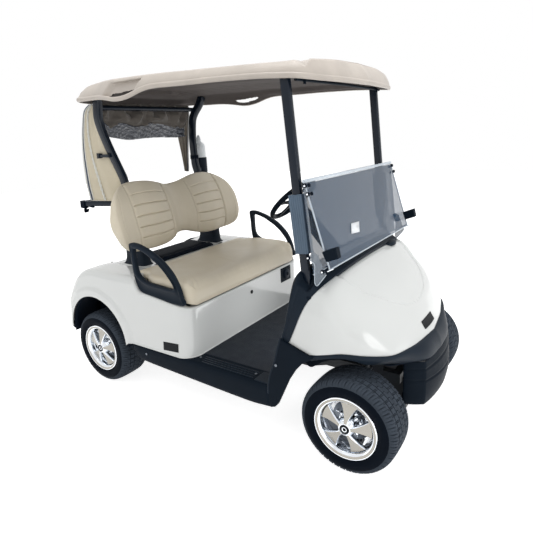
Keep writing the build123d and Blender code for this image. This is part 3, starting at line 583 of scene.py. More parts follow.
PITCHES = 46
SHOULDER_STEPS = (0.0, 0.04, 0.20, 0.24, 0.36, 0.40, 0.48, 0.52, 0.56, 0.60, 0.67, 0.71, 0.84, 0.96)
TYRE_PROFILE = (
    (0, 228.6), (8, 228.6), (16, 228.5), (19, 228.4), (19.6, 222.5), (24.4, 222.5), (25, 228.3), (34, 228.1),
    (43, 227.8), (49, 227.4), (49.8, 222.2), (54.2, 222.2), (55, 227.0), (63, 226.4), (66, 226.0),
    (74, 224.6), (82, 221.8), (88, 217.8), (93, 212.0), (96, 206.0), (98, 199.5), (98.5, 198.2), (99.8, 194),
    (101.4, 186), (102.2, 178), (101.6, 170), (99.8, 163), (99.0, 160.5), (97.0, 155), (94.6, 150.5),
    (94.8, 148.5), (92.0, 146.2), (88.5, 145.0), (86.0, 144.0), (85.0, 128.5),
)


def tread_depth(x, f):
    """How far the tread is cut at |x| from the middle, at share f of one pitch, in millimetres."""
    if x > 66:
        return 5.0 * smoothstep(x, 66, 70) * (1 - smoothstep(x, 94, 99)) if 0.02 < f < 0.22 else (
            2.6 if 0.59 < f < 0.68 and x < 90 else 0)
    if 56 < x <= 63 or 26 < x < 48:
        return 5.0 if 0.39 < f < 0.49 or 0.59 < f < 0.68 else 0
    if x < 18:
        return 4.5 if 0.39 < f < 0.49 else 0
    return 0


def tyre_shape(centre, side):
    profile = [(-x, r) for x, r in reversed(TYRE_PROFILE[1:])] + list(TYRE_PROFILE)
    rows = []
    for pitch in range(PITCHES):
        for f in SHOULDER_STEPS:
            row = []
            for x, r in profile:
                slant = 0.5 * (abs(x) / 100) ** 2 + (0.25 if abs(x) < 20 else 0)
                a = 2 * math.pi * (pitch + f + slant * (1 if x > 0 else -1)) / PITCHES
                reach = (r - tread_depth(abs(x), f)) * MM
                row.append((centre.x + reach * math.cos(a), centre.y + x * MM * side,
                            centre.z + reach * math.sin(a)))
            rows.append(row)
    shape = Shape().grid(rows, wrap_rows=True,
                         slot=lambda j: int(abs(profile[j][0]) > 97.5 or profile[j][1] < 200))
    bead = [(-84, 128.5), (84, 128.5)]
    return shape.lathe(bead, centre, (0, side, 0), 64, closed=False)


RIM_BARREL = (
    (92, 128.5), (95, 131), (98.5, 144.5), (98.6, 147.4), (96.5, 149.2), (92, 148.2), (88, 144.6), (87, 141),
    (86, 130), (84, 124), (70, 119), (-70, 119), (-84, 124), (-86, 130), (-88, 144), (-92, 145), (-96, 143),
    (-92, 128), (-80, 116.5), (-10, 112.5), (36, 112.5), (50, 113.5), (60, 116), (68, 121.5), (70, 122.5),
    (84, 124.0), (91, 127),
)
SPOKE_ROOT, SPOKE_END = (28, 99.5), (119, 79)
SPOKE_DEEP = 17
CAP_PROFILE = ((80, 0.01), (99, 0.01), (99.5, 9), (98.4, 13), (101.2, 14.5), (102.2, 18), (100.5, 21.5),
               (93, 24), (80, 25))


def spoke_outline():
    """Flat spoke, narrow at the hub and flared to the barrel, in (across, along)."""
    half = [(11.0, 24), (11.5, 36), (14.5, 52), (20.0, 70), (27.0, 88), (35.5, 104), (42.0, 113)]
    tip = [(-24, 117.5), (0, 119), (24, 117.5)]
    return [(-a, b) for a, b in half] + tip + half[::-1]


def rim_shape(centre, side):
    shape = Shape().lathe(RIM_BARREL, centre, (0, side, 0), 96, slot=0)
    outline = spoke_outline()
    n = len(outline)
    for k in range(5):
        turn = math.radians(72 * k - 79.1)
        verts = []
        for sink, inset in ((SPOKE_DEEP, 0), (7, 0), (1.2, 3.0), (0, 4.2)):
            for a, b in outline:
                across = a - math.copysign(min(inset, abs(a)), a) if a else 0
                along = b
                share = (b - SPOKE_ROOT[0]) / (SPOKE_END[0] - SPOKE_ROOT[0])
                out = SPOKE_ROOT[1] + (SPOKE_END[1] - SPOKE_ROOT[1]) * share - sink
                x = across * math.cos(turn) - along * math.sin(turn)
                z = across * math.sin(turn) + along * math.cos(turn)
                verts.append((centre.x + x * MM, centre.y + side * out * MM, centre.z + z * MM))
        walls = [(i + r * n, (i + 1) % n + r * n, (i + 1) % n + (r + 1) * n, i + (r + 1) * n)
                 for r in range(3) for i in range(n)]
        shape.add(verts, walls + [tuple(range(n))[::-1]], slot=0)
        shape.add([verts[i] for i in range(3 * n, 4 * n)], [tuple(range(n))], slot=1)
    # Flat ring inside the lip, then the hub and its dark cap
    shape.lathe(((95.4, 132.5), (98.9, 143.6), (98.2, 144.2), (94.8, 133)), centre, (0, side, 0), 96, slot=1)
    hub = ((60, 46), (78, 42), (90, 36), (97, 31), (100.6, 27.5), (100.8, 25.2), (98, 24.6), (98, 0.01),
           (60, 0.01))
    shape.lathe(hub, centre, (0, side, 0), 48, slot=0)
    shape.lathe(CAP_PROFILE, centre, (0, side, 0), 40, slot=2)
    shape.lathe(((98, 7), (100.4, 8.5), (100.6, 11.5), (98, 13)), centre, (0, side, 0), 32, slot=0)
    for k in range(4):
        turn = math.radians(45 + 90 * k)
        nut = (centre.x + 50.8 * MM * math.cos(turn), centre.y, centre.z + 50.8 * MM * math.sin(turn))
        shape.lathe(((26, 12), (52, 12), (57, 9.5), (60, 5), (60.5, 0.01), (26, 0.01)), nut, (0, side, 0), 6,
                    slot=0)
    return shape


def drum_shape(centre, side):
    profile = ((-40, 40), (-38, 88), (6, 92), (10, 95), (14, 95), (16, 86), (18, 62), (27, 58), (29, 34),
               (29, 17), (-40, 17))
    shape = Shape().lathe(profile, centre, (0, side, 0), 48)
    shape.lathe(((28, 60), (36, 58), (40, 52), (40, 40), (36, 36), (28, 34)), centre, (0, side, 0), 48,
                slot=1)
    for k in range(8):
        turn = math.radians(22.5 + 45 * k)
        bolt = (centre.x + 74 * MM * math.cos(turn), centre.y, centre.z + 74 * MM * math.sin(turn))
        shape.lathe(((14, 7), (24, 7), (26.5, 0.01), (14, 0.01)), bolt, (0, side, 0), 6, slot=1)
    return shape


for end in ("front", "rear"):
    for name, side in (("left", 1), ("right", -1)):
        wheel = f"{end}_{name}"
        centre = middle(f"tyre_{wheel}")
        piece(f"tread_tyre_{wheel}", tyre_shape(centre, side), [TYRE, SIDEWALL],
              f"tyre_{wheel}", body=f"wheel_{wheel}", sharp=28)
        piece(f"alloy_rim_{wheel}", rim_shape(centre, side), [CHROME, SPOKE, PLATE],
              f"rim_{wheel}", body=f"wheel_{wheel}", sharp=30)
        piece(f"brake_drum_{wheel}", drum_shape(centre, side), [DRUM, CHROME],
              body=f"wheel_{wheel}", sharp=30)


# ---------------------------------------------------------------- rear body

BODY_Y = 579
FLARE = 11
FLOOR_Z = 330
CORNER_R = 92
SEAT_FRONT = 780
ARCH = (5, 312, 262)
SHOULDER_R = 46
WELL_Y = 374
BASE_REAR = 330
BASE_RIM_R = 13
# Upper edge of the side over the arch, from the tail forward: (station, z)
BODY_TOP = spline(((-308, 331), (-286, 440), (-259, 552), (-216, 626), (-152, 690), (-78, 728), (10, 740),
                   (120, 741), (240, 741), (330, 740)), 40)


def arch_point(degrees):
    a = math.radians(degrees)
    return (ARCH[0] + ARCH[2] * math.cos(a), ARCH[1] + ARCH[2] * math.sin(a))


def flare(station, z):
    """How far the wheel-arch ring stands proud at a place on the side."""
    d = math.hypot(station - ARCH[0], z - ARCH[1]) - ARCH[2]
    return FLARE * (1 - smoothstep(d, 34, 66))


def side_section(low, top, inner_y, radius, steps=26, turns=9):
    """From the lower edge up the side, round the shoulder and in over the deck: (station, y, z)."""
    ls, lz = low
    ts, tz = top
    span = math.hypot(ts - ls, tz - lz)
    ux, uz = (ts - ls) / span, (tz - lz) / span
    points = []
    for k in range(steps):
        d = (span - radius) * k / (steps - 1)
        s, z = ls + ux * d, lz + uz * d
        points.append((s, BODY_Y + flare(s, z), z))
    s0, base, z0 = points[-1]
    for k in range(1, turns + 1):
        a = math.radians(90 * k / turns)
        points.append((s0 + ux * radius * math.sin(a), base - radius * (1 - math.cos(a)),
                       z0 + uz * radius * math.sin(a)))
    y_now = points[-1][1]
    for k in range(1, 6):
        points.append((ts, y_now + (inner_y - y_now) * k / 5, tz + 3 * math.sin(math.pi * k / 5)))
    return points


def seat_base_stops():
    """Round the seat base from the arch to the middle of its front.

    Each stop is (station, y, outward in station, outward in y, station at the foot, whether on the side).
    """
    corner_s, corner_y = SEAT_FRONT - CORNER_R, BODY_Y - CORNER_R
    first = arch_point(0)[0]
    for s in np.linspace(BASE_REAR + 1, corner_s, 34):
        foot = first + (s - BASE_REAR) * (corner_s - first) / (corner_s - BASE_REAR)
        yield s, BODY_Y, 0, 1, foot, True
    for degrees in np.linspace(0, 90, 14)[1:]:
        a = math.radians(degrees)
        s = corner_s + CORNER_R * math.sin(a)
        yield s, corner_y + CORNER_R * math.cos(a), math.sin(a), math.cos(a), s, False
    for y in np.linspace(corner_y, 0, 14)[1:]:
        yield SEAT_FRONT, y, 1, 0, SEAT_FRONT, False


def seat_base_section(s, y, ns, ny, foot, on_side):
    """From the foot of the seat base up, round its rim and down inside: (station, y, z)."""
    low_z = ARCH[1] + (FLOOR_Z - ARCH[1]) * smoothstep(s, 331, 350)
    rim_r = SHOULDER_R + (BASE_RIM_R - SHOULDER_R) * smoothstep(s, 331, 470)
    wall = body_rim(s) - rim_r - low_z
    row = []
    for share in np.arange(26) / 25:
        z = low_z + wall * share
        here = foot + (s - foot) * share
        out = flare(here, z) if on_side else 0
        row.append((here + ns * out, y + ny * out, z))
    hs, hy, hz = row[-1]
    for k in range(1, 10):
        a = math.radians(90 * k / 9)
        inward = rim_r * (1 - math.cos(a))
        row.append((hs - ns * inward, hy - ny * inward, hz + rim_r * math.sin(a)))
    hs, hy, hz = row[-1]
    lip = (180 - 146 * smoothstep(s, 331, 380)) if on_side else 34
    for reach, drop in ((0.4, 0), (0.8, 0), (1.0, 1), (1.02, 14), (1.03, 40)):
        row.append((hs - ns * lip * reach, hy - ny * lip * reach, hz - drop))
    return row


def rear_body_shape():
    rows = []
    for i, top in enumerate(BODY_TOP):
        low = arch_point(176 - 176 * (i / (len(BODY_TOP) - 1)))
        rows.append(side_section(low, top, WELL_Y, SHOULDER_R))
    # In front of the arch: the side runs forward and turns the corner to the middle of the front
    rows += [seat_base_section(*stop) for stop in seat_base_stops()]
    # Deck between the fenders, with its front lip over the seat opening
    deck = ((-6, 690), (-6, 736), (-2, 740.5), (60, 743), (160, 743), (270, 742), (325, 741), (333, 738),
            (336, 700))
    deck_y = WELL_Y + 60
    return Shape().mirrored(rows).grid([[at(s, y, z) for y in np.linspace(-deck_y, deck_y, 12)]
                                        for s, z in deck])


def body_rim(station):
    """Height of the seat opening's rim."""
    if station <= 372:
        return 740
    if station <= 430:
        return 740 - 74 * smoothstep(station, 372, 430)
    rise = 668 - (station - 430) * 0.122
    return rise - 12 * smoothstep(station, 740, 776)


piece("body_shell", rear_body_shape(), WHITE, "rear_body", thick=4, sharp=40)

# Bead round the lower edge of the seat base, from the rocker round the front corners
bead = [(300, BODY_Y - 1), (SEAT_FRONT - CORNER_R, BODY_Y - 1)]
bead += [(SEAT_FRONT - CORNER_R + (CORNER_R - 1) * math.sin(a),
          BODY_Y - CORNER_R + (CORNER_R - 1) * math.cos(a))
         for a in np.linspace(0.1, math.pi / 2, 10)]
bead_path = [at(s, -y, FLOOR_Z + 4) for s, y in bead] + [at(s, y, FLOOR_Z + 4) for s, y in reversed(bead)]
piece("body_bead", Shape().tube(bead_path, 4.5), WHITE)

# Dark liners inside the rear arches
liners = Shape()
for side in SIDES:
    rows = []
    for a in np.linspace(-4, 184, 30):
        s, z = arch_point(a)
        ds, dz = (s - ARCH[0]) / ARCH[2], (z - ARCH[1]) / ARCH[2]
        rows.append([at(s + ds * 4, side * y, z + dz * 4) for y in (574, 540, 480, 420, 376)])
    liners.grid(rows)
    rows = []
    for a in np.linspace(-4, 184, 30):
        s, z = arch_point(a)
        rows.append([at(ARCH[0] + (s - ARCH[0]) * k, side * 376, ARCH[1] + (z - ARCH[1]) * k)
                     for k in (1.015, 0.75, 0.42)])
    liners.grid(rows)
piece("arch_liners", liners, LINER, thick=2)

# Mud guards behind the rear arches
guards = Shape().both(((-306, 332), (-262, 332), (-266, 306), (-300, 322)), 400, 574)
piece("tail_guards", guards, BLACK, bevel=3)

# Badge plate, keyhole and charger socket on the seat base
plates = Shape().both(((579, 351), (695, 361), (700, 413), (584, 403)), BODY_Y - 1, BODY_Y + 1.6)
piece("side_plates", plates, PLATE, bevel=1.2)
socket = Shape().prism(((332, 500), (455, 500), (455, 600), (332, 600)), SEAT_FRONT - 2, SEAT_FRONT + 3,
                       "cross")
piece("charger_plate", socket, BLACK, bevel=3)
piece("charger_lid", Shape().lathe(((0, 34), (9, 34), (12, 30), (12, 0.01), (0, 0.01)),
                                   at(SEAT_FRONT + 2, 398, 550),
                                   (1, 0, 0), 32), SATIN, sharp=30)
piece("charger_latch", Shape().prism(((388, 540), (408, 540), (408, 562), (388, 562)), SEAT_FRONT + 13,
                                     SEAT_FRONT + 19, "cross"), LINER, bevel=3)
piece("key_barrel", Shape().lathe(((-1, 12), (2, 12), (2.4, 8), (0, 7), (0, 0.01), (-1, 0.01)),
                                  at(SEAT_FRONT, -3, 543), (1, 0, 0), 24), PLATE)


# ---------------------------------------------------------------- front cowl

# Lower edge of one side, from the fender corner to the nose: (station, y, z)
COWL_LOW = spline(((1392, 560, 571), (1455, 560, 549), (1521, 559, 532), (1575, 550, 548), (1640, 530, 559),
                   (1717, 490, 551), (1773, 439, 540), (1816, 375, 530), (1846, 262, 523), (1868, 161, 520),
                   (1880, 60, 519), (1882, 0, 519)), 90)
COWL_CENTRE = ((1392, 890), (1500, 889), (1556, 884), (1655, 815), (1734, 748), (1792, 668), (1821, 612),
               (1846, 566), (1868, 536), (1882, 520))
COWL_POWER = ((1392, 5.2), (1500, 5.4), (1556, 5.0), (1655, 3.4), (1734, 2.9), (1792, 2.6), (1882, 2.2))
COWL_SEAM = ((1392, 571), (1412, 615), (1434, 668), (1454, 716), (1474, 759), (1499, 801), (1524, 834),
             (1546, 860), (1555, 874), (1557, 884))
CROWN = 26
centre_height = table(COWL_CENTRE, 1)
power = table(COWL_POWER, 1)
low_y = table([(s, y) for s, y, z in COWL_LOW], 1)
low_z = table([(s, z) for s, y, z in COWL_LOW], 1)


def cowl_point(station, angle):
    """Place on the cowl's section at a station: angle 0 at the lower edge, 90 degrees at the centre."""
    p = power(station)
    wide, base = low_y(station), low_z(station)
    c, s = math.cos(angle), math.sin(angle)
    reach = (abs(c) ** p + abs(s) ** p) ** (-1 / p)
    y = wide * reach * c
    share = y / wide if wide > 0.01 else 0
    z = base + max(centre_height(station) - base - CROWN * share**2, 0) * reach * s
    return (station, y, z)


def seam_station(angle):
    """Where the section at this angle meets the cowl's rear edge."""
    low, high = COWL_SEAM[0][0], COWL_SEAM[-1][0]
    seam = table([(z, s) for s, z in COWL_SEAM], 1)
    station = low
    for _ in range(40):
        station += 0.5 * (seam(cowl_point(station, angle)[2]) - station)
        station = min(max(station, low), high)
    return station


# The sunken hood panel's edge, in (station, y), open towards the windshield
HOOD_EDGE = spline(((1545, -392), (1600, -372), (1680, -318), (1742, -240), (1782, -140), (1796, 0),
                    (1782, 140), (1742, 240), (1680, 318), (1600, 372), (1545, 392)), 120)
HOOD_DROP = 9
HOOD_POINTS = np.array(HOOD_EDGE)
HOOD_HALF = [(s, abs(y)) for s, y in HOOD_EDGE if y <= 0]


def hood_drop(station, y):
    edge = float(np.hypot(HOOD_POINTS[:, 0] - station, HOOD_POINTS[:, 1] - y).min())
    inside = station < 1796 and abs(y) < float(np.interp(station, *zip(*HOOD_HALF)))
    return HOOD_DROP * smoothstep(edge if inside else -edge, -3, 9)


def cowl_shape(columns=96, rows_count=120):
    nose = COWL_LOW[-1][0]
    angles = [math.pi * k / (2 * columns) for k in range(columns + 1)]
    starts = [seam_station(a) for a in angles]
    rows = []
    for r in range(rows_count + 1):
        w = 1 - (1 - r / rows_count) ** 1.9
        row = []
        for a, start in zip(angles, starts):
            s, y, z = cowl_point(start + (nose - start) * w, a)
            row.append((s, y, z - hood_drop(s, y)))
        rows.append(row)
    return Shape().mirrored(rows)


cowl = cowl_shape()
piece("cowl_shell", cowl, WHITE, "front_cowl", thick=4, sharp=45)
cowl_points = np.array([v for v in cowl.verts if v[0] > REAR_X + 1.78 and abs(v[1]) < 0.15])


def on_nose(y, z, out):
    """Place on the nose at (y, z), standing out ahead of the shell."""
    gap = (cowl_points[:, 1] - y * MM) ** 2 + (cowl_points[:, 2] - z * MM) ** 2
    near = np.argsort(gap)[:6]
    weight = 1 / (gap[near] + 1e-8)
    return (float((cowl_points[near, 0] * weight).sum() / weight.sum()) + out * MM, y * MM, z * MM)


# Blank plate on the nose
nose_plate = Shape()
for out in (0.5, 3.5):
    nose_plate.grid([[on_nose(y, 562 + 17 * v, out) for y in np.linspace(-74, 74, 21)]
                     for v in np.linspace(-1, 1, 7)])
n = 21 * 7
edge = [*range(21), *range(41, n, 21), *range(n - 2, n - 22, -1), *range(n - 42, 0, -21)]
nose_plate.faces += [(a, b, b + n, a + n) for a, b in zip(edge, edge[1:] + edge[:1])]
nose_plate.slots += [0] * len(edge)
piece("nose_plate", nose_plate, PLATE, sharp=40)


# ---------------------------------------------------------------- black trim round the cowl

# Lower edge of the bumper band on one side, matched to the cowl's lower edge: (station, y, z)
BAND_LOW = spline(((1500, 556, 506), (1575, 553, 532), (1640, 536, 541), (1690, 508, 528), (1724, 462, 500),
                   (1790, 366, 478), (1833, 300, 462), (1892, 203, 443), (1914, 130, 440),
                   (1922, 0, 440)), 60)
BAND_TOP = spline(((1500, 560, 536), (1575, 551, 550), (1640, 532, 561), (1717, 492, 553), (1773, 441, 542),
                   (1816, 377, 532), (1846, 264, 525), (1868, 163, 522), (1882, 0, 521)), 60)


def outward(path, i):
    before, after = path[max(i - 1, 0)], path[min(i + 1, len(path) - 1)]
    ds, dy = after[0] - before[0], after[1] - before[1]
    length = math.hypot(ds, dy) or 1
    return -dy / length, ds / length


# Share down the band and how far it stands out there
BAND_SECTION = ((0, -14), (0, -4), (-0.03, 1), (0.0, 4), (0.12, 6.5), (0.35, 8), (0.6, 7), (0.85, 3.5),
                (0.96, 1), (1.0, -3), (1.0, -10), (0.97, -26))


def band_shape():
    rows = []
    for i, (top, low) in enumerate(zip(BAND_TOP, BAND_LOW)):
        ns, ny = outward(BAND_TOP, i) if i < len(BAND_TOP) - 1 else (1, 0)
        deep = 3 + 9 * smoothstep(i, 0, 40) + 11 * smoothstep(i, 8, 24) * (1 - smoothstep(i, 40, 59))
        row = []
        for share, out in BAND_SECTION:
            s = top[0] + (low[0] - top[0]) * share + ns * out * deep / 9
            y = top[1] + (low[1] - top[1]) * share + ny * out * deep / 9
            row.append((s, max(y, 0), top[2] + (low[2] - top[2]) * share))
        rows.append(row)
    return Shape().mirrored(rows)


CHIN_SECTIONS = ((217, 243, 207, 1931), (320, 250, 211, 1949), (440, 255, 215, 1925))
CHIN_BACK, CHIN_CORNER = 1816, 1906
CHIN_GROOVES = ((404, 3.5), (345, 3.5))


def chin_shape():
    """The bumper's narrow lower part, bowed across the front, with level grooves."""
    half_rear = table(CHIN_SECTIONS, 1)
    half_front = table(CHIN_SECTIONS, 2)
    apex = table(CHIN_SECTIONS, 3)
    heights = sorted({217, 219, 222, 230, 260, 290, 320, 370, 440, 442} | {
        g + d for g, w in CHIN_GROOVES for d in (-12, -w - 3, -w, 0, w, w + 3, 12)}) + [443]
    rows = []
    for z in heights:
        cut = 3.0 * max((1 - smoothstep(abs(z - g), w, w + 3)) for g, w in CHIN_GROOVES)
        tuck = 4 * (1 - smoothstep(z, 217, 228)) + 4 * smoothstep(z, 436, 443)
        plan = []
        for t in np.linspace(0, 1, 16):
            y = half_rear(z) + (half_front(z) - half_rear(z)) * t**1.5
            plan.append((CHIN_BACK + (CHIN_CORNER - 12 - CHIN_BACK) * t, y - cut - tuck))
        bow = apex(z) - CHIN_CORNER
        for a in np.linspace(0.25, math.pi / 2, 14):
            y = (half_front(z) - 2) * math.cos(a) ** 0.9
            s = CHIN_CORNER + bow * (1 - (y / half_front(z)) ** 2) - 3 * (1 - math.sin(a))
            plan.append((s - cut - tuck, max(y, 0)))
        full = [(s, -y) for s, y in plan] + [(s, y) for s, y in reversed(plan[:-1])]
        rows.append([at(s, y, z) for s, y in full])
    shape = Shape().grid(rows)
    rim = [(v[0], v[1] * 0.93, v[2]) for v in rows[0]]
    shape.grid([rows[0], [(x - 0.012, y, z) for x, y, z in rim],
                [(x - 0.012, y, z + 0.05) for x, y, z in rim]])
    return shape


piece("bumper_band", band_shape(), SATIN, "front_bumper", sharp=50)
piece("bumper_chin", chin_shape(), BLACK, thick=3, sharp=40)
backing = Shape().prism(((1700, -330), (1780, -330), (1840, -262), (1896, -190), (1910, 0), (1896, 190),
                         (1840, 262), (1780, 330), (1700, 330)), 446, 452, "plan")
piece("bumper_shelf", backing, LINER)

# Pillars: from the fender panels up along the cowl's rear edge, with a hollow round each strut's foot
PILLAR_REAR = ((1352, 560, 588), (1372, 560, 650), (1384, 560, 700), (1394, 558, 745), (1402, 555, 785),
               (1408, 545, 825), (1413, 525, 858), (1421, 498, 880), (1435, 470, 896), (1447, 430, 906),
               (1452, 300, 914), (1452, 0, 918))
PILLAR_FRONT = [cowl_point(seam_station(math.radians(a)), math.radians(a))
                for a in (0, 7, 14, 21, 28, 34, 39, 43, 47, 52, 58, 66, 78, 90)]
# Outline of the strut's hollow in (station, z)
HOLLOW = ((1416, 960), (1428, 850), (1436, 842), (1474, 815), (1482, 820), (1494, 846), (1497, 960))
HOLLOW_IN = 446


def hollow_distance(station, y, z):
    """How far a place lies outside the strut's hollow, negative inside."""
    inside, best = False, 1e9
    for (s0, z0), (s1, z1) in zip(HOLLOW, HOLLOW[1:] + HOLLOW[:1]):
        if (z0 > z) != (z1 > z) and station < (s1 - s0) * (z - z0) / (z1 - z0) + s0:
            inside = not inside
        ds, dz = s1 - s0, z1 - z0
        k = min(max(((station - s0) * ds + (z - z0) * dz) / (ds * ds + dz * dz), 0), 1)
        best = min(best, math.hypot(station - s0 - k * ds, z - z0 - k * dz))
    return max(-best if inside else best, HOLLOW_IN - abs(y))


def cowl_rim_shape():
    """The dark strip between the cabin and the white cowl, over the top and down both sides."""
    count = 150
    rear, front = spline(PILLAR_REAR, count), spline(PILLAR_FRONT, count)
    arch = table(((0, 0), (0.04, 5.5), (0.12, 9), (0.2, 9.5), (0.27, 8.5), (0.31, 5.2), (0.40, 4.6),
                  (0.7, 4.2), (0.94, 2.6), (1, 1.6)), 1)
    stops = [(-0.02, -46), (-0.10, -30), (-0.10, -16), (-0.04, -6)]
    stops += [(t, arch(t)) for t in np.linspace(0, 1, 34)] + [(1.005, -3), (1.0, -9)]
    rows = []
    for i, (r, f) in enumerate(zip(rear, front)):
        # Outward direction goes from the side to straight up
        over = smoothstep(i / (count - 1), 0.36, 0.62)
        ny, nz = math.cos(over * math.pi / 2), math.sin(over * math.pi / 2)
        row = []
        for t, out in stops:
            s, y, z = (a + (b - a) * t for a, b in zip(r, f))
            if 0 <= t <= 1 and 790 < z < 925 and y > 430:
                away = hollow_distance(s, y, z)
                out += 2.6 * math.exp(-((away - 6) / 3.4) ** 2) - 44 * smoothstep(-away, -1, 6)
            row.append((s, max(y + ny * out, 0), z + nz * out))
        rows.append(row)
    return Shape().mirrored(rows)


piece("cowl_rim", cowl_rim_shape(), SATIN, sharp=50)
half_round = Shape()
half_round.grid([[at(1556 + r * math.cos(a), 250 + r * 1.5 * math.sin(a), z)
                  for a in np.linspace(-1.57, 1.57, 16)]
                 for r, z in ((34, 862), (35, 874), (32, 878), (24, 880), (1, 885))])
piece("cowl_bump", half_round, SATIN)

# Dash with pockets between the pillars
DASH_SIDE = ((1402, 482), (1365, 640), (1369, 790), (1393, 850), (1399, 884), (1425, 903), (1455, 905),
             (1455, 880), (1428, 882), (1414, 868), (1409, 848), (1386, 788), (1381, 642), (1420, 486))
dash = Shape().prism(DASH_SIDE, -440, 440)
piece("dash_face", dash, BLACK, "dash_cowl", bevel=9, segments=3, sharp=25)
trays = Shape()
for low, high in ((-400, -150), (-120, 90)):
    trays.prism(((1369, 672), (1349, 690), (1344, 736), (1352, 740), (1359, 702), (1371, 690)), low, high)
piece("dash_pocket_rims", trays, SATIN, bevel=5, segments=3)
hollows = Shape()
for low, high in ((-390, -160), (-110, 80)):
    hollows.prism(((1363, 700), (1364, 782), (1370, 782), (1369, 700)), low, high)
piece("dash_pockets", hollows, LINER, bevel=2)
cups = Shape()
for y in (-58, 36, 130):
    cups.lathe(((0, 32), (6, 32), (9, 29), (9, 26), (2, 24), (2, 0.01)), at(1433, y, 902), (0.02, 0, 1), 32)
piece("cup_rings", cups, SATIN, sharp=30)
switches = Shape()
switches.lathe(((0, 15), (5, 15), (6, 12), (6, 5), (12, 4.5), (12, 0.01), (0, 0.01)), at(1380, 158, 822),
               (-0.93, 0, 0.37), 24)
switches.prism(((1394, 848), (1380, 812), (1374, 814), (1388, 850)), 395, 425)
piece("dash_switches", switches, SATIN, bevel=2)
# Inner sides of the pillars
inner = Shape().both(((1364, 590), (1384, 660), (1398, 740), (1412, 800), (1424, 815), (1500, 796),
                      (1472, 752), (1434, 664), (1392, 574), (1400, 482), (1372, 482)), 440, 540)
piece("pillar_cores", inner, BLACK, bevel=10, segments=3)

# Fender panels: black sweeps from the rockers up to the cowl
FENDER_SIDE = ((1286, 216), (1312, 226), (1330, 246), (1352, 294), (1396, 392), (1430, 448), (1464, 489),
               (1521, 530), (1456, 549), (1392, 573), (1352, 590), (1338, 540), (1318, 470), (1290, 396),
               (1276, 340), (1274, 280))
piece("fender_sweeps", Shape().both(FENDER_SIDE, 561, 580), BLACK, "fender_panels", bevel=5,
      segments=3, sharp=30)
fold = Shape()
for side in SIDES:
    line = spline(((1356, 588), (1342, 540), (1322, 470), (1294, 396), (1280, 336), (1278, 290)), 24)
    fold.sweep([at(s, side * 578, z) for s, z in line], rounded_profile(10, 8, 3.5), up=(0, 1, 0))
piece("fender_folds", fold, SATIN)

# Liners over the front tyres, clear of their sweep at full lock
wheel_liner = Shape().both(((1379, 436), (1392, 412), (1416, 394), (1432, 394), (1460, 414), (1490, 436),
                            (1528, 455), (1572, 470), (1600, 480), (1560, 490), (1480, 478),
                            (1420, 470)), 396, 430)
piece("wheel_liners", wheel_liner, BLACK, bevel=8, segments=3)

# Rockers with their ribbed sill tops
rows = []
for s, z in spline(((316, 296), (340, 262), (382, 240), (600, 228), (1112, 209), (1240, 213),
                    (1286, 217)), 40):
    wide = 579 if s > 330 else 577
    rows.append([(s, wide - inset, h) for inset, h in (
        (22, z + 6), (16, z), (6, z - 1), (1.5, z + 5), (0, z + 18), (-1, FLOOR_Z - 40), (0, FLOOR_Z - 14),
        (4, FLOOR_Z - 4), (12, FLOOR_Z + 1), (24, FLOOR_Z + 2), (60, FLOOR_Z + 2), (98, FLOOR_Z + 1.5),
        (102, FLOOR_Z - 8))])
rocker = Shape().mirrored(rows)
piece("rocker_panels", rocker, BLACK, "rockers", thick=3, sharp=40)
ribs = Shape()
for side in SIDES:
    for k, y in enumerate((496, 514, 532, 550)):
        ends = (812 + 6 * k, 1176)
        ribs.prism(((ends[0], FLOOR_Z), (ends[0] + 8, FLOOR_Z + 5), (ends[1] - 8, FLOOR_Z + 5),
                    (ends[1], FLOOR_Z)), *sorted((side * y, side * (y + 9))))
    ribs.prism(((1190, FLOOR_Z + 1), (1190, FLOOR_Z + 5), (1276, FLOOR_Z + 8), (1286, FLOOR_Z + 40),
                (1300, FLOOR_Z + 40), (1300, FLOOR_Z)),
               *sorted((side * 482, side * 570)))
piece("sill_ribs", ribs, SATIN, bevel=2)

SCREW_HEAD = ((0, 7), (2.5, 6.5), (3.4, 3), (2.2, 2), (2.2, 0.01), (0, 0.01))
screws = Shape()
for side in SIDES:
    places = [((s, side * 580.5, z), (0, side, 0)) for s, z in ((430, 290), (1330, 452))]
    places += [((s, side * 521, FLOOR_Z + 4.5), (0, 0, 1)) for s in (800, 1168)]
    for place, axis in places:
        screws.lathe(SCREW_HEAD, at(*place), axis, 14)
piece("trim_screws", screws, DRUM)

# Floor mat, folded up the toe board
mat = Shape().prism(((784, 330.5), (784, 334), (1286, 334), (1392, 478), (1396, 474), (1290, 330.5)), -474,
                    474)
piece("floor_mat", mat, MAT, bevel=1.2)


# ---------------------------------------------------------------- roof

ROOF_PLAN = spline(((-62, 0), (-62, 200), (-61, 330), (-54, 408), (-34, 456), (-4, 482), (56, 500),
                    (130, 511), (200, 519), (330, 546), (450, 552), (560, 549), (700, 538), (900, 527),
                    (1200, 517), (1370, 508), (1428, 498), (1458, 472), (1480, 412), (1514, 250),
                    (1534, 0)), 300)
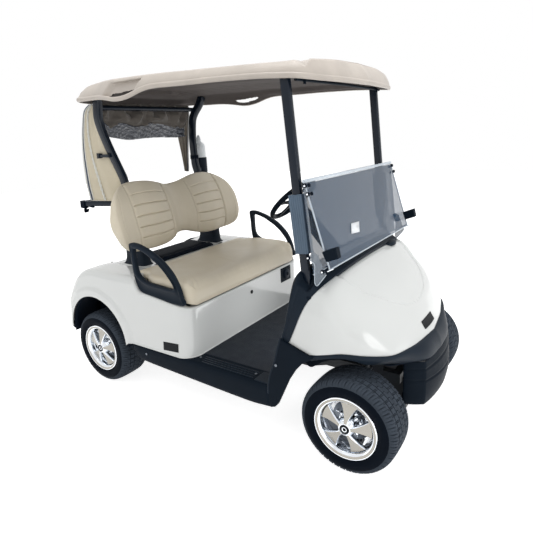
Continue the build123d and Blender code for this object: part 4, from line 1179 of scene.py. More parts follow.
# (station, top rim, lower lip, how far the rim lies inside the lip)
ROOF_RIM = ((-62, 1766, 1695, 54), (-30, 1770, 1700, 62), (0, 1777, 1701, 60), (60, 1781, 1697, 52),
            (130, 1783, 1695, 46), (200, 1785, 1694, 42), (263, 1785, 1690, 40), (302, 1784, 1685, 40),
            (340, 1784, 1679, 40), (383, 1783, 1672, 40), (426, 1782, 1670, 40), (469, 1781, 1673, 40),
            (512, 1781, 1680, 40), (555, 1780, 1691, 40), (597, 1780, 1701, 40), (637, 1779, 1707, 40),
            (694, 1778, 1709, 40), (749, 1776, 1708, 40), (855, 1772, 1705, 40), (1000, 1767, 1703, 40),
            (1100, 1763, 1700, 40), (1250, 1757, 1694, 40), (1370, 1752, 1685, 40), (1428, 1752, 1680, 40),
            (1458, 1754, 1676, 42), (1480, 1758, 1673, 46), (1514, 1765, 1671, 52), (1534, 1770, 1670, 56))
ROOF_CROWN = 30
ROLL = 23
roof_top, roof_lip, roof_inset = (table(ROOF_RIM, k) for k in (1, 2, 3))
SPINE = (250, 1250)
# Grip pocket in the rim, in (station, z), and the slot through its foot
POCKET = ((278, 1698), (345, 1764), (582, 1764), (538, 1705))
# Shallow mark at the rear corner
CORNER_MARK = ((-30, 1724), (-18, 1742), (36, 1752), (14, 1724))
NOTCH_AT = 1447


def inside_by(outline, a, b):
    """Distance from (a, b) to the nearest side of a convex outline drawn clockwise, positive inside."""
    best = 1e9
    for (a0, b0), (a1, b1) in zip(outline, outline[1:] + outline[:1]):
        da, db = a1 - a0, b1 - b0
        best = min(best, ((b - b0) * -da + (a - a0) * db) / math.hypot(da, db))
    return best


def spine_at(s):
    return min(max(s, SPINE[0]), SPINE[1])


def roof_edge(i):
    """Place on the roof's outline and the direction there away from the roof's spine."""
    s, y = ROOF_PLAN[i]
    along = s - spine_at(s)
    length = math.hypot(along, y)
    return s, y, along / length, y / length


def notch(s, y):
    """Depth of the drain groove across the rim at a front corner."""
    along = 0.7 * (s - NOTCH_AT) + 0.8 * (470 - abs(y))
    return 30 * min(max(min((along + 48) / 50, (26 - along) / 18), 0), 1)


def slot_open(s, z, y):
    return y > 440 and 356 < s < 545 and roof_lip(s) + ROLL - 1 < z < 1711 + 7 * smoothstep(s, 400, 545)


def roof_skin_section(s, y, ns, ny):
    """From the middle of the top over the rim to the rolled lower lip: (station, y, z)."""
    top, lip, inset = roof_top(s), roof_lip(s), roof_inset(s)
    cut = notch(s, y) if s > 1340 and y > 340 else 0
    foot = lip + ROLL
    gone = cut / (top - 1 - foot)
    rim_s, rim_y = (c - n * inset * (1 - gone) ** 1.15 for c, n in ((s, ns), (y, ny)))
    spine = spine_at(s)
    row = []
    for w in (0, 0.15, 0.3, 0.45, 0.58, 0.66, 0.70, 0.74, 0.80, 0.86, 0.91, 0.95, 0.98):
        step = 7 * smoothstep(w, 0.66, 0.70) * (1 - smoothstep(w, 0.74, 0.80))
        rise = ROOF_CROWN * (1 - w**1.9) - step
        z = top + rise - cut * smoothstep(w, 0.74, 0.84)
        row.append((spine + (rim_s - spine) * w, rim_y * w, z))
    for t in (0, 0.015, *np.linspace(0.04, 1, 30)):
        round_off = 5 * (1 - smoothstep(t, 0, 0.10)) ** 2
        z = top - 1 - (top - 1 - foot) * t
        share = gone + (1 - gone) * t
        z -= cut * (1 - t)
        back = inset * (1 - share) ** 1.15 + 6 * share - 3 * math.sin(math.pi * share) + round_off
        if y > 400:
            deep = inside_by(POCKET, s, z)
            if deep > -3:
                rear_wall = smoothstep((s - 278) - (z - 1698) * 67 / 66, -2, 42)
                back += 21 * smoothstep(deep, -2, 5) * max(rear_wall, 0.05)
            back += 3.5 * smoothstep(inside_by(CORNER_MARK, s, z), -1, 4)
        row.append((s - ns * back, y - ny * back, z))
    for a in np.linspace(70, -170, 13):
        c, d = math.cos(math.radians(a)), math.sin(math.radians(a))
        row.append((s - ns * (7.5 - 9 * c), y - ny * (7.5 - 9 * c), lip + ROLL / 2 + ROLL / 2 * d))
    row.append((s - ns * 17, y - ny * 17, lip + 20))
    return row


def roof_under_section(s, y, ns, ny):
    """From the middle of the underside outwards and down to the lip: (station, y, z)."""
    top, lip, spine = roof_top(s), roof_lip(s), spine_at(s)
    heights = [(w, top - 26 - 5 * w + 2.4 * math.cos(w * 46) * smoothstep(w, 0.08, 0.2))
               for w in np.linspace(0, 0.84, 29)]
    heights += [(0.87, top - 40), (0.90, top - 54)]
    row = [(spine + (s - spine) * w, y * w, max(z, lip + 12)) for w, z in heights]
    inner_s, inner_y, inner_z = row[-1]
    for t in np.linspace(0.1, 1, 14):
        row.append((inner_s + (s - ns * 19 - inner_s) * t, inner_y + (y - ny * 19 - inner_y) * t,
                    inner_z + (lip + 7 - inner_z) * t))
    row.append((s - ns * 14, y - ny * 14, lip + 3))
    return row


def roof_shape(section):
    """A skin of the roof from its sections, open at the grip slots."""
    shape = Shape().mirrored([[(s, max(y, 0), z) for s, y, z in section(*roof_edge(i))]
                              for i in range(len(ROOF_PLAN))])
    kept = []
    for face in shape.faces:
        x, y, z = (sum(shape.verts[k][c] for k in face) / len(face) for c in (0, 1, 2))
        if not slot_open((x - REAR_X) / MM, z / MM, abs(y) / MM):
            kept.append(face)
    shape.faces = kept
    shape.slots = [0] * len(kept)
    return shape


piece("roof_skin", roof_shape(roof_skin_section), ROOF, "roof", sharp=60)
piece("roof_underside", roof_shape(roof_under_section), ROOF_UNDER_PAINTED_SHADE, sharp=60)
ties = Shape()
ties.tube([at(1398 + 22 * math.cos(y / 330), y, 1681) for y in np.linspace(-452, 452, 30)], 6.5, up=(0, 0, 1),
          sides=8)
for y in (-394, 394):
    ties.lathe(((0, 0.01), (0, 9), (8, 9), (10, 6), (18, 6), (18, 0.01)), at(1412, y, 1683), (0, 0, -1), 16,
               closed=False)
piece("roof_ties", ties, BLACK)


# ---------------------------------------------------------------- struts and sleeves

FRONT_POST_Y = 470
front = Shape()
for side in SIDES:
    line = [at(1449 - 90 * t, side * (FRONT_POST_Y - 2 * t), 780 + 958 * t)
            for t in np.linspace(0, 0.965, 14)]
    front.sweep(line, rounded_profile(29, 42, 8), up=(1, 0, 0))
piece("front_posts", front, TUBE, "front_struts", sharp=50)

POST = ((172, 338, 742), (166, 336, 830), (153, 330, 960), (141, 324, 1090), (126, 320, 1180),
        (110, 323, 1258), (96, 327, 1298), (76, 345, 1379), (62, 358, 1438), (52, 372, 1497), (46, 384, 1550),
        (45, 393, 1605), (54, 397, 1650), (64, 399, 1700), (70, 400, 1748))
POST_FAR = POST[:11] + ((48, 393, 1605), (66, 404, 1650), (98, 418, 1698), (112, 432, 1748))
rear = Shape()
for side, points in ((-1, POST), (1, POST_FAR)):
    line = spline(points, 60)
    widths = [(1 + 0.16 * smoothstep(z, 1500, 1640), 1) for s, y, z in line]
    rear.sweep([at(s, side * y, z) for s, y, z in line], rounded_profile(34, 50, 9), up=(1, 0, 0),
               scales=widths)
rear.tube([at(56, y, 1667) for y in np.linspace(-396, 396, 12)], 14, up=(0, 0, 1))
# Bars and pads behind the backrest
for high, s, half in ((910, 143, 331), (1130, 115, 323)):
    rear.sweep([at(s, y, high) for y in np.linspace(-half, half, 6)], rounded_profile(24, 30, 4),
               up=(0, 0, 1))
    for side in SIDES:
        low, top = sorted((side * 130, side * 200))
        reach = 183 - 0.12 * (high - 836)
        rear.prism(((s, high - 15), (reach, high - 15), (reach - 3, high + 15), (s, high + 15)), low, top)
# Cover hook: a flat stub with a cross end
rear.prism(((-2, 1392), (76, 1389), (76, 1408), (-2, 1406)), -388, -352)
rear.prism(((-24, 1384), (-4, 1387), (0, 1413), (-22, 1416)), -392, -366)
piece("rear_posts", rear, TUBE, "rear_struts", sharp=50)

rows = []
# (height, rear, front, half width)
for z, back, ahead, half in ((739, 60, 268, 50), (744, 66, 262, 47), (750, 74, 254, 43), (762, 84, 248, 40),
                             (790, 92, 246, 38), (850, 96, 242, 37), (930, 92, 222, 36)):
    mid, long = (back + ahead) / 2, (ahead - back) / 2
    row = []
    for k in range(28):
        a = 2 * math.pi * k / 28
        row.append((mid + long * signed_power(math.cos(a), 0.4),
                    338 + half * signed_power(math.sin(a), 0.4), z))
    rows.append(row)
feet = Shape().mirrored(rows, wrap_cols=True, caps=True)
piece("strut_shrouds", feet, SATIN, sharp=50)

sleeves = Shape()
for side in SIDES:
    line = [at(1433 - 28 * t, side * FRONT_POST_Y, 971 + 254 * t) for t in np.linspace(0, 1, 5)]
    sleeves.sweep(line, rounded_profile(46, 68, 6), up=(1, 0, 0))
    for k in range(5):
        off = -22 + 11 * k
        groove = [at(1433 - 28 * t + off, side * 493.5, 973 + 250 * t) for t in (0, 1)]
        sleeves.sweep(groove, rounded_profile(2.4, 5, 1), up=(1, 0, 0))
piece("post_sleeves", sleeves, SLEEVE, "strut_sleeves", bevel=1, sharp=50)


# ---------------------------------------------------------------- windshield

SHIELD_HALF = 503
FLANGE_OUT = 506
lower = Shape().prism(((1450, 1270), (1455, 1270), (1498, 888), (1493, 888)), -SHIELD_HALF, SHIELD_HALF)
piece("shield_lower", lower, GLASS, "windshield_lower", bevel=1.5)
upper = Shape().prism(((1459, 1275), (1464, 1275), (1573, 921), (1568, 921)),
                      -SHIELD_HALF + 1, SHIELD_HALF - 1)
piece("shield_upper", upper, GLASS, "windshield_upper", bevel=1.5)
bar = Shape().sweep([at(1458, y, 1283) for y in (-SHIELD_HALF, 0, SHIELD_HALF)], rounded_profile(16, 15, 6),
                    up=(0, 0, 1))
piece("shield_hinge_bar", bar, EDGE_GLASS)
edges = Shape()
for side in SIDES:
    edges.sweep([at(1462, side * SHIELD_HALF, 1272), at(1571, side * SHIELD_HALF, 923)],
                rounded_profile(5, 7, 2), up=(1, 0, 0))
edges.sweep([at(1571, y, 920) for y in (-SHIELD_HALF, SHIELD_HALF)], rounded_profile(8, 6, 2), up=(0, 0, 1))
edges.sweep([at(1496, y, 889) for y in (-SHIELD_HALF, SHIELD_HALF)], rounded_profile(8, 6, 2), up=(0, 0, 1))
piece("shield_edges", edges, EDGE_GLASS)
flanges, flange_edges = Shape(), Shape()
FLANGE = ((1470, 957), (1487, 948), (1502, 934), (1502, 900), (1501, 859), (1505, 845), (1513, 842),
          (1530, 862), (1556, 896), (1540, 925), (1519, 979), (1491, 991))
for side in SIDES:
    flanges.prism(FLANGE, *sorted((side * SHIELD_HALF, side * FLANGE_OUT)))
    flange_edges.sweep([at(s, side * FLANGE_OUT, z) for s, z in spline(FLANGE[:9], 40)],
                       rounded_profile(3.4, 3.4, 1.5), up=(0, 1, 0))
    # The lower panel's side strip, folded back
    flanges.prism(((1455, 1262), (1463, 1262), (1500, 960), (1488, 952)),
                  *sorted((side * 500, side * SHIELD_HALF)))
piece("shield_flanges", flanges, FLANGE_GLASS, bevel=1.2)
piece("shield_flange_edges", flange_edges, EDGE_GLASS)
clips = Shape().both(((1545, 998), (1608, 1022), (1619, 976), (1564, 956)), 488, 522)
piece("shield_clips", clips, BLACK, "windshield_clips", bevel=3, segments=3)
bolts, bolt_heads = Shape(), Shape()
for side in SIDES:
    for s, z in ((1466, 1266), (1478, 1232), (1474, 962), (1540, 908)):
        bolts.lathe(((0, 9), (6, 9), (8, 7), (8, 0.01), (0, 0.01)), at(s, side * FLANGE_OUT, z), (0, side, 0),
                    16)
        bolt_heads.lathe(((7, 5), (10, 4.4), (12, 2.4), (12, 0.01), (7, 0.01)), at(s, side * FLANGE_OUT, z),
                         (0, side, 0), 12)
        bolts.lathe(((0, 8), (6, 8), (8, 5), (8, 0.01), (0, 0.01)), at(s + 6, side * 490, z), (1, 0, 0.3), 16)
    bolts.sweep([at(1540, side * 500, 908), at(1566, side * 496, 922)], rounded_profile(11, 11, 4),
                up=(0, 1, 0))
    bolt_heads.sweep([at(1562, side * 505, 912), at(1588, side * 503, 926)], rounded_profile(5, 6, 2),
                     up=(0, 1, 0))
piece("shield_bolts", bolts, LINER)
piece("shield_bolt_heads", bolt_heads, CHROME)
label = Shape().grid([[at(1534, -205, 1059), at(1536, -119, 1054)],
                      [at(1547, -229, 1016), at(1550, -145, 1009)]])
piece("shield_label", label, LABEL, thick=0.6)


# ---------------------------------------------------------------- steering wheel

HUB = Vector(at(930, 280, 1080))
TILT = math.radians(43)
WHEEL_AXIS = Vector((-math.sin(TILT), 0, math.cos(TILT)))
WHEEL_ACROSS = Vector((math.cos(TILT), 0, math.sin(TILT)))
RIM_R = 160


def wheel_place(angle, radius, rise):
    flat = WHEEL_ACROSS * math.cos(angle) + Vector((0, 1, 0)) * math.sin(angle)
    return tuple(HUB + flat * radius * MM + WHEEL_AXIS * rise * MM)


wheel = Shape()
grip = [wheel_place(2 * math.pi * k / 64, RIM_R, 0) for k in range(64)]
wheel.tube(grip, 15.5, closed=True, up=tuple(WHEEL_AXIS), sides=14)
wheel.lathe(((-50, 34), (-20, 38), (-8, 44), (-2, 42), (2, 30), (3, 0.01), (-50, 0.01)), HUB, WHEEL_AXIS, 36)
for angle in (0, 180, 270):
    a = math.radians(angle)
    arm = [wheel_place(a, r, -10 + 6 * smoothstep(r, 40, 150)) for r in (34, 70, 110, 156)]
    wheel.sweep(arm, rounded_profile(30, 9, 4), up=tuple(WHEEL_AXIS),
                scales=[(1.3, 1.2), (1, 1), (0.85, 1), (1.1, 1.1)])
piece("steering_grip", wheel, BLACK, "steering_wheel", body="steering_wheel", sharp=50)
column = Shape().lathe(((-60, 34), (-62, 40), (-120, 42), (-380, 48), (-646, 46), (-646, 0.01), (-60, 0.01)),
                       HUB, WHEEL_AXIS, 32)
piece("column_shroud", column, BLACK, sharp=40)


# ---------------------------------------------------------------- seats

# Half outline of the backrest: (|y|, top, bottom)
BACK_OUTLINE = ((0, 1197, 884), (50, 1202, 878), (116, 1220, 857), (180, 1235, 844), (258, 1243, 838),
                (340, 1240, 839), (402, 1226, 843), (455, 1198, 854), (500, 1160, 876), (530, 1122, 908),
                (549, 1080, 950), (557, 1040, 985))
# Front face in plan: (|y|, station at the lower edge)
BACK_FRONT = ((0, 258), (45, 263), (90, 281), (120, 287), (250, 290), (395, 288), (420, 297), (470, 318),
              (515, 332), (540, 331), (557, 312))
BACK_LEAN = 0.262
BACK_LOW = 836
BACK_TOP = 1244
BACK_HALF = 556.5
CHANNEL_SPAN = 405
# How far the front face swells at mid height, by |y|
BACK_SWELL = ((0, 24), (115, 32), (200, 42), (300, 44), (395, 34), (470, 12), (515, 6), (557, 0))
CHANNELS = (0.207, 0.365, 0.525, 0.684, 0.842)
back_top = table(BACK_OUTLINE, 1)
back_bottom = table(BACK_OUTLINE, 2)
back_front = table(BACK_FRONT, 1)
back_swell = table(BACK_SWELL, 1)
SEAMS = (112, 392, 500)


def seam_lines(share):
    """|y| of a lobe's inner seam, outer seam and side seam at a share of its height."""
    bow = math.sin(math.pi * share)
    return 106 + 9 * bow, 384 + 12 * bow, 462 + 38 * bow


def groove(distance, depth, wide):
    return -depth * math.exp(-(distance / wide) ** 2)


def back_relief(y, share):
    """Sewn lines and soft pads on the front face."""
    inner, outer, edge_seam = seam_lines(share)
    y = abs(y)
    d = groove(y - inner, 6.5, 4.5) + groove(y - outer, 6.5, 4.5) + groove(y - edge_seam, 2.2, 3)
    d += 2.2 * math.exp(-((y - inner + 13) / 7) ** 2) + 2.2 * math.exp(-((y - outer - 13) / 7) ** 2)
    if inner < y < outer:
        edge = min(y - inner, outer - y)
        fade = smoothstep(edge, 2, 16)
        for k, channel in enumerate(CHANNELS):
            deep = 3.2 if k == len(CHANNELS) - 1 else 6.0
            off = (share - channel) * CHANNEL_SPAN
            d += groove(off, deep, 2.6) * fade
            d += 3.4 * fade * (math.exp(-((off + 9) / 9) ** 2) * 0.5 + math.exp(-((off - 9) / 10) ** 2) * 0.4)
        f = ((share - CHANNELS[0]) * CHANNEL_SPAN / 64.2) % 1
        if CHANNELS[0] < share < CHANNELS[-1]:
            d += 4.2 * fade * (4 * f * (1 - f)) ** 0.7
        else:
            d += 3.6 * fade
    return d


def seam_columns():
    """Places across one half of the backrest, closer together at the sewn lines."""
    marks = {0.0, BACK_HALF}
    marks |= set(np.linspace(6, 548, 78).round(1).tolist())
    for seam in SEAMS:
        marks = {m for m in marks if abs(m - seam) > 11}
        marks |= {seam + d for d in (-9, -6, -3.5, -1.6, 0, 1.6, 3.5, 6, 9)}
    marks |= {551.0, 554.0, 555.6}
    half = sorted(marks)
    return [-m for m in reversed(half[1:])] + half


def section_stops():
    """Places round one upright section: (across the thickness, up), dense on the front face."""
    ups = {round(v, 4) for v in np.linspace(-0.96, 0.96, 96)}
    for channel in CHANNELS:
        mid = 2 * channel - 1
        ups = {u for u in ups if abs(u - mid) > 0.032}
        ups |= {mid + d / 202 for d in (-6, -4, -2.4, -1.1, 0, 1.1, 2.4, 4, 6)}
    stops = []
    for u in sorted(ups):
        d = signed_power(u, 1 / 0.60)
        stops.append((math.sqrt(1 - d * d), d, u))
    first, last = math.asin(stops[0][1]), math.asin(stops[-1][1])
    for a in np.linspace(last, first + 2 * math.pi, 26)[1:-1]:
        stops.append((math.cos(a), math.sin(a), signed_power(math.sin(a), 0.60)))
    return stops


def backrest_shape():
    shape = Shape()
    rows = []
    stops = section_stops()
    for mark in seam_columns():
        row = []
        for c, d, up in stops:
            share = (1 + up) / 2
            reach = [0, *SEAMS, BACK_HALF]
            y = math.copysign(float(np.interp(abs(mark), reach, [0, *seam_lines(share), BACK_HALF])), mark)
            top, bottom = back_top(abs(y)), back_bottom(abs(y))
            end = math.sqrt(max(1 - max((abs(y) - 492) / 64.6, 0) ** 2.4, 0.0))
            mid_z = 0.5 * (top + bottom) * end + (1 - end) * 1015
            half = 0.5 * (top - bottom) * (0.25 + 0.75 * end)
            z = mid_z + half * up
            high = min(max((z - BACK_LOW) / (BACK_TOP - BACK_LOW), 0), 1)
            thick = (46 - 20 * high) * (0.2 + 0.8 * end) * (0.82 + 0.18 * math.sin(math.pi * high))
            swell = back_swell(abs(y)) * max(1 - abs(up) ** 2.6, 0) * max(c, 0) ** 0.3
            front = back_front(abs(y)) - BACK_LEAN * (z - BACK_LOW)
            s = front - thick + thick * signed_power(c, 0.55) + swell
            if c > 0.02:
                s += back_relief(y, share) * smoothstep(c, 0.02, 0.42)
            row.append(at(s, y, z))
        rows.append(row)
    return shape.grid(rows, wrap_cols=True, caps=True)


# Half width and heights of the cushion by station: (station, half width, top, underside)
CUSHION = ((303, 440, 727, 722), (306, 462, 738, 714), (315, 472, 745, 706), (335, 476, 751, 699),
           (412, 482, 754, 690), (440, 508, 755, 678), (470, 528, 755, 671), (600, 537, 753, 654),
           (680, 538, 751, 643), (715, 536, 747, 637), (738, 531, 739, 632), (756, 522, 725, 627),
           (770, 508, 703, 622), (777, 496, 680, 620), (780, 486, 656, 622))
cushion_half, cushion_top, cushion_low = (table(CUSHION, k) for k in (1, 2, 3))


def cushion_relief(s, y):
    """Two dished places, the ridge between them and the wrinkles of the stretched cover."""
    along = math.sin(math.pi * min(max((s - 318) / 440, 0), 1)) ** 0.8
    dip = -13 * math.exp(-((abs(y) - 275) / 128) ** 2) * along
    ridge = 3.5 * math.exp(-(y / 60) ** 2) * along
    fold = 2.6 * math.exp(-((y + 34 + 0.16 * (s - 540)) / 11) ** 2) * smoothstep(s, 470, 600)
    stitch = groove(math.hypot((s - 545) / 1.25, abs(y) - 285) - 132, 1.5, 3.5)
    angle = math.atan2(abs(y) - 400, s - 640)
    far = math.hypot(abs(y) - 400, s - 640)
    corner = math.exp(-((s - 745) / 50) ** 2 - ((abs(y) - 478) / 60) ** 2)
    gather = (4.2 * math.sin(17 * angle + 0.6 * math.sin(far / 17)) + 1.8 * math.sin(31 * angle)) * corner
    front = (1.9 * math.sin(y / 19 + 0.9 * math.sin(y / 61))
             + 1.1 * math.sin(y / 8.5 + 1.4 * math.sin(y / 37))) * math.exp(-((s - 764) / 15) ** 2)
    rumple = 0.9 * math.sin(s / 27 + 2.4 * math.sin(y / 110)) * math.sin(y / 71 + 1.3)
    return dip + ridge + fold + stitch + gather + front + rumple


def cushion_shape():
    stations = sorted({s for s, *_ in CUSHION} | set(np.linspace(306, 736, 74).round(1).tolist())
                      | set(np.linspace(738, 780, 26).round(1).tolist()))
    rows = []
    for s in stations:
        half, top, low = cushion_half(s), cushion_top(s), cushion_low(s)
        tall = top - low
        curl = min(34, tall * 0.48)
        row = []
        # Over the top, then round each side and under
        for y in np.linspace(-(half - curl), half - curl, 132):
            row.append(at(s, y, top + cushion_relief(s, y) * smoothstep(tall, 8, 34)))
        side = []
        for k in range(1, 12):
            a = math.radians(90 * k / 11)
            y, z = half - curl + curl * math.sin(a), top - curl + curl * math.cos(a)
            lift = cushion_relief(s, y) * math.cos(a) * smoothstep(tall, 8, 34)
            side.append((y + 1.6 * math.sin(a) * math.sin(s / 13 + z / 30), z + lift))
        foot = low + min(12, tall * 0.2)
        for k in range(1, 7):
            share = k / 6
            puff = 3.5 * math.sin(math.pi * share)
            side.append((half + puff - 2 * share, top - curl + (foot - top + curl) * share))
        side += [(half - 8, low + 2), (half - 22, low)]
        row += [at(s, y, z) for y, z in side]
        row += [at(s, y, low) for y in np.linspace(half - 60, -(half - 60), 14)]
        row += [at(s, -y, z) for y, z in reversed(side)]
        rows.append(row)
    return Shape().grid(rows, wrap_cols=True, caps=True)


backrest = piece("backrest_pad", backrest_shape(), VINYL, "backrest_cushion", sharp=70)
cushion = piece("seat_pad", cushion_shape(), VINYL, "seat_cushion", body="seat", sharp=70)

# Black strip under the cushion's front: partly the seat pan's black edge, partly a painted shadow line where
# the cushion meets the body.
pan = Shape()
rows = []
for y in np.linspace(-462, 462, 60):
    edge = smoothstep(abs(y), 400, 462)
    droop = 1.5 * math.sin(y / 33)
    section = ((742, 622), (770, 617 + droop), (774, 618 + droop), (775, 626), (768, 643), (742, 645))
    rows.append([at(s - 44 * edge**2, y, z) for s, z in section])
pan.grid(rows, wrap_cols=True, caps=True)
piece("pan_trim", pan, BLACK, body="seat", sharp=40)
HINGE_S, HINGE_Z = 295, 738
HINGE_SIDES = (-300, 300)
PAN_FRONT = 772
plate = Shape()
PLATE_PLAN = ((342, -478), (430, -478), (430, -504), (740, -504), (762, -492), (770, -468), (770, 468),
              (762, 492), (740, 504), (430, 504), (430, 478), (342, 478))
n = len(PLATE_PLAN)
walls = [(k, (k + 1) % n, n + (k + 1) % n, n + k) for k in range(n)]
plate.add([at(s, y, 629 + (PAN_FRONT - s) * 56 / 430 + up) for up in (0, 12) for s, y in PLATE_PLAN],
          [tuple(range(n))[::-1], tuple(range(n, 2 * n))] + walls)
for y in HINGE_SIDES:
    plate.prism(((348, 684.3), (348, 695.5), (303, 710.5), (299.5, 716), (299.5, 732), (290.5, 732),
                 (291, 708), (300, 699)), y - 13, y + 13)
    plate.lathe(((-13, 8), (13, 8), (13, 5), (-13, 5)), at(HINGE_S, y, HINGE_Z), (0, 1, 0), 24)
piece("seat_plate", plate, BLACK, "seat_pan", body="seat", sharp=40)
hinges = Shape()
for y in HINGE_SIDES:
    hinges.lathe(((-21, 4), (21, 4), (21, 0.01), (-21, 0.01)), at(HINGE_S, y, HINGE_Z), (0, 1, 0), 16)
    for low in (-21, 14.5):
        hinges.prism(((274, 732), (299.5, 732), (299.5, 741), (296, 744), (274, 740)), y + low, y + low + 6.5)
piece("seat_hinges", hinges, STEEL)


# ---------------------------------------------------------------- hip restraints, deck tray and bag rack

# Outer and inner outline of each loop, point for point: (outer s, outer z, inner s, inner z)
LOOP = ((395, 800, 420, 805), (392, 868, 418, 868), (386, 926, 419, 906), (396, 941, 432, 914),
        (443, 941, 455, 913), (500, 926, 503, 899), (547, 909, 536, 884), (590, 888, 570, 865),
        (624, 868, 604, 845), (665, 834, 644, 813), (701, 796, 676, 780), (728, 750, 697, 754),
        (745, 705, 704, 738), (753, 668, 702, 726), (762, 640, 694, 720), (700, 636, 670, 718),
        (640, 641, 632, 720), (588, 648, 600, 723), (520, 656, 556, 726), (460, 663, 510, 730),
        (432, 676, 470, 742), (414, 705, 440, 760), (402, 745, 426, 780))
loop_outer = spline([row[:2] for row in LOOP], 150, closed=True)
loop_inner = spline([row[2:] for row in LOOP], 150, closed=True)
rows = []
for (so, zo), (si, zi) in zip(loop_outer, loop_inner):
    wide = math.hypot(so - si, zo - zi)
    edge = min(9 / wide, 0.3)
    low = 574 - 4.5 * smoothstep(wide, 34, 60)
    # Share from the outer outline to the inner one, and how far out the face stands
    rows.append([(so + (si - so) * t, y, zo + (zi - zo) * t) for t, y in (
        (0.06, 546), (0, 550), (0, 568), (0.25 * edge, 572), (edge, 575), (1.6 * edge, low), (0.5, low),
        (1 - 2.4 * edge, low), (1 - 1.6 * edge, 577), (1 - 0.5 * edge, 577), (1, 571), (1, 552),
        (0.94, 546))])
hips = Shape().mirrored(rows, wrap_rows=True, wrap_cols=True)
piece("hip_loops", hips, SATIN, "hip_restraints", sharp=60)

tray = Shape()
rows = []
for y in np.linspace(-235, 235, 24):
    inset = 12 * smoothstep(abs(y), 215, 235)
    rows.append([at(s, y, z - inset * (z > 742)) for s, z in (
        (78, 741), (76, 760), (84, 767), (110, 768), (200, 764), (236, 762), (244, 757), (250, 757),
        (256, 763), (268, 766), (280, 762), (288, 753), (287, 744), (282, 741))])
tray.grid(rows, wrap_cols=True, caps=True)
piece("deck_tray", tray, LINER, "deck_cover", sharp=50)

RACK_Z = 1109
rack = Shape()
for side in SIDES:
    line = spline(((98, side * 318), (20, side * 334), (-100, side * 372), (-196, side * 400)), 20)
    rack.sweep([at(s, y, RACK_Z) for s, y in line], rounded_profile(24, 34, 6), up=(0, 0, 1))
rack.sweep([at(-218, y, RACK_Z) for y in np.linspace(-408, 408, 14)], rounded_profile(22, 34, 6),
           up=(0, 0, 1))
piece("bag_bar", rack, TUBE, "bag_rack", sharp=50)
buckles = Shape()
for side in SIDES:
    buckles.prism(((-228, 1084), (-188, 1080), (-184, 1124), (-224, 1128)), *sorted((side * 388, side * 418)))
    buckles.prism(((-184, 1090), (-130, 1084), (-128, 1096), (-182, 1104)), *sorted((side * 384, side * 398)))
    strap = spline(((-196, 1080), (-204, 1066), (-198, 1054), (-184, 1058), (-176, 1076)), 20)
    buckles.sweep([at(s, side * 404, z) for s, z in strap], rounded_profile(20, 2.4, 1), up=(0, 0, 1))
piece("rack_buckles", buckles, LINER, bevel=3)


# ---------------------------------------------------------------- rain cover

# Edges of the side sheets from the top down: (station, |y|, z)
NEAR_REAR = ((-30, 386, 1688), (-83, 386, 1660), (-112, 386, 1600), (-140, 386, 1510), (-160, 386, 1400),
             (-166, 386, 1300), (-165, 386, 1220), (-150, 386, 1132))
NEAR_FRONT = ((48, 392, 1690), (38, 394, 1620), (34, 386, 1560), (36, 374, 1500), (46, 360, 1440),
              (64, 344, 1370), (86, 330, 1300), (104, 324, 1240), (124, 322, 1132))
FAR_REAR = ((-30, 392, 1688), (-84, 392, 1640), (-116, 392, 1560), (-106, 392, 1476), (-86, 392, 1359),
            (-74, 392, 1246))
FAR_FRONT = ((22, 392, 1688), (20, 392, 1630), (10, 392, 1540), (-6, 392, 1450), (-22, 392, 1360),
             (-44, 392, 1240))


def sheet_place(rear, front, v, u, fold):
    """Place on a hanging sheet: v down it, u from its rear edge to its front edge."""
    k = v * (len(rear) - 1)
    i = min(int(k), len(rear) - 2)
    t = k - i
    a, b = ([p[i][c] * (1 - t) + p[i + 1][c] * t for c in (0, 1, 2)] for p in (rear, front))
    y = a[1] + (b[1] - a[1]) * u**2.4 + fold(v, u)
    return a[0] + (b[0] - a[0]) * u, y, a[2] + (b[2] - a[2]) * u


def near_fold(v, u):
    ripple = 6 * math.sin(7 * u + 2.2 * v) * (0.3 + 0.7 * v) + 2 * math.sin(19 * u - 5 * v)
    return ripple * smoothstep(u, 0, 0.12) * (1 - smoothstep(u, 0.8, 1))


def far_fold(v, u):
    return (9 * math.cos(u * 20 + 1.6 * math.sin(3.4 * v)) + 4 * math.sin(u * 37 - 5 * v)) * (0.5 + 0.5 * v)


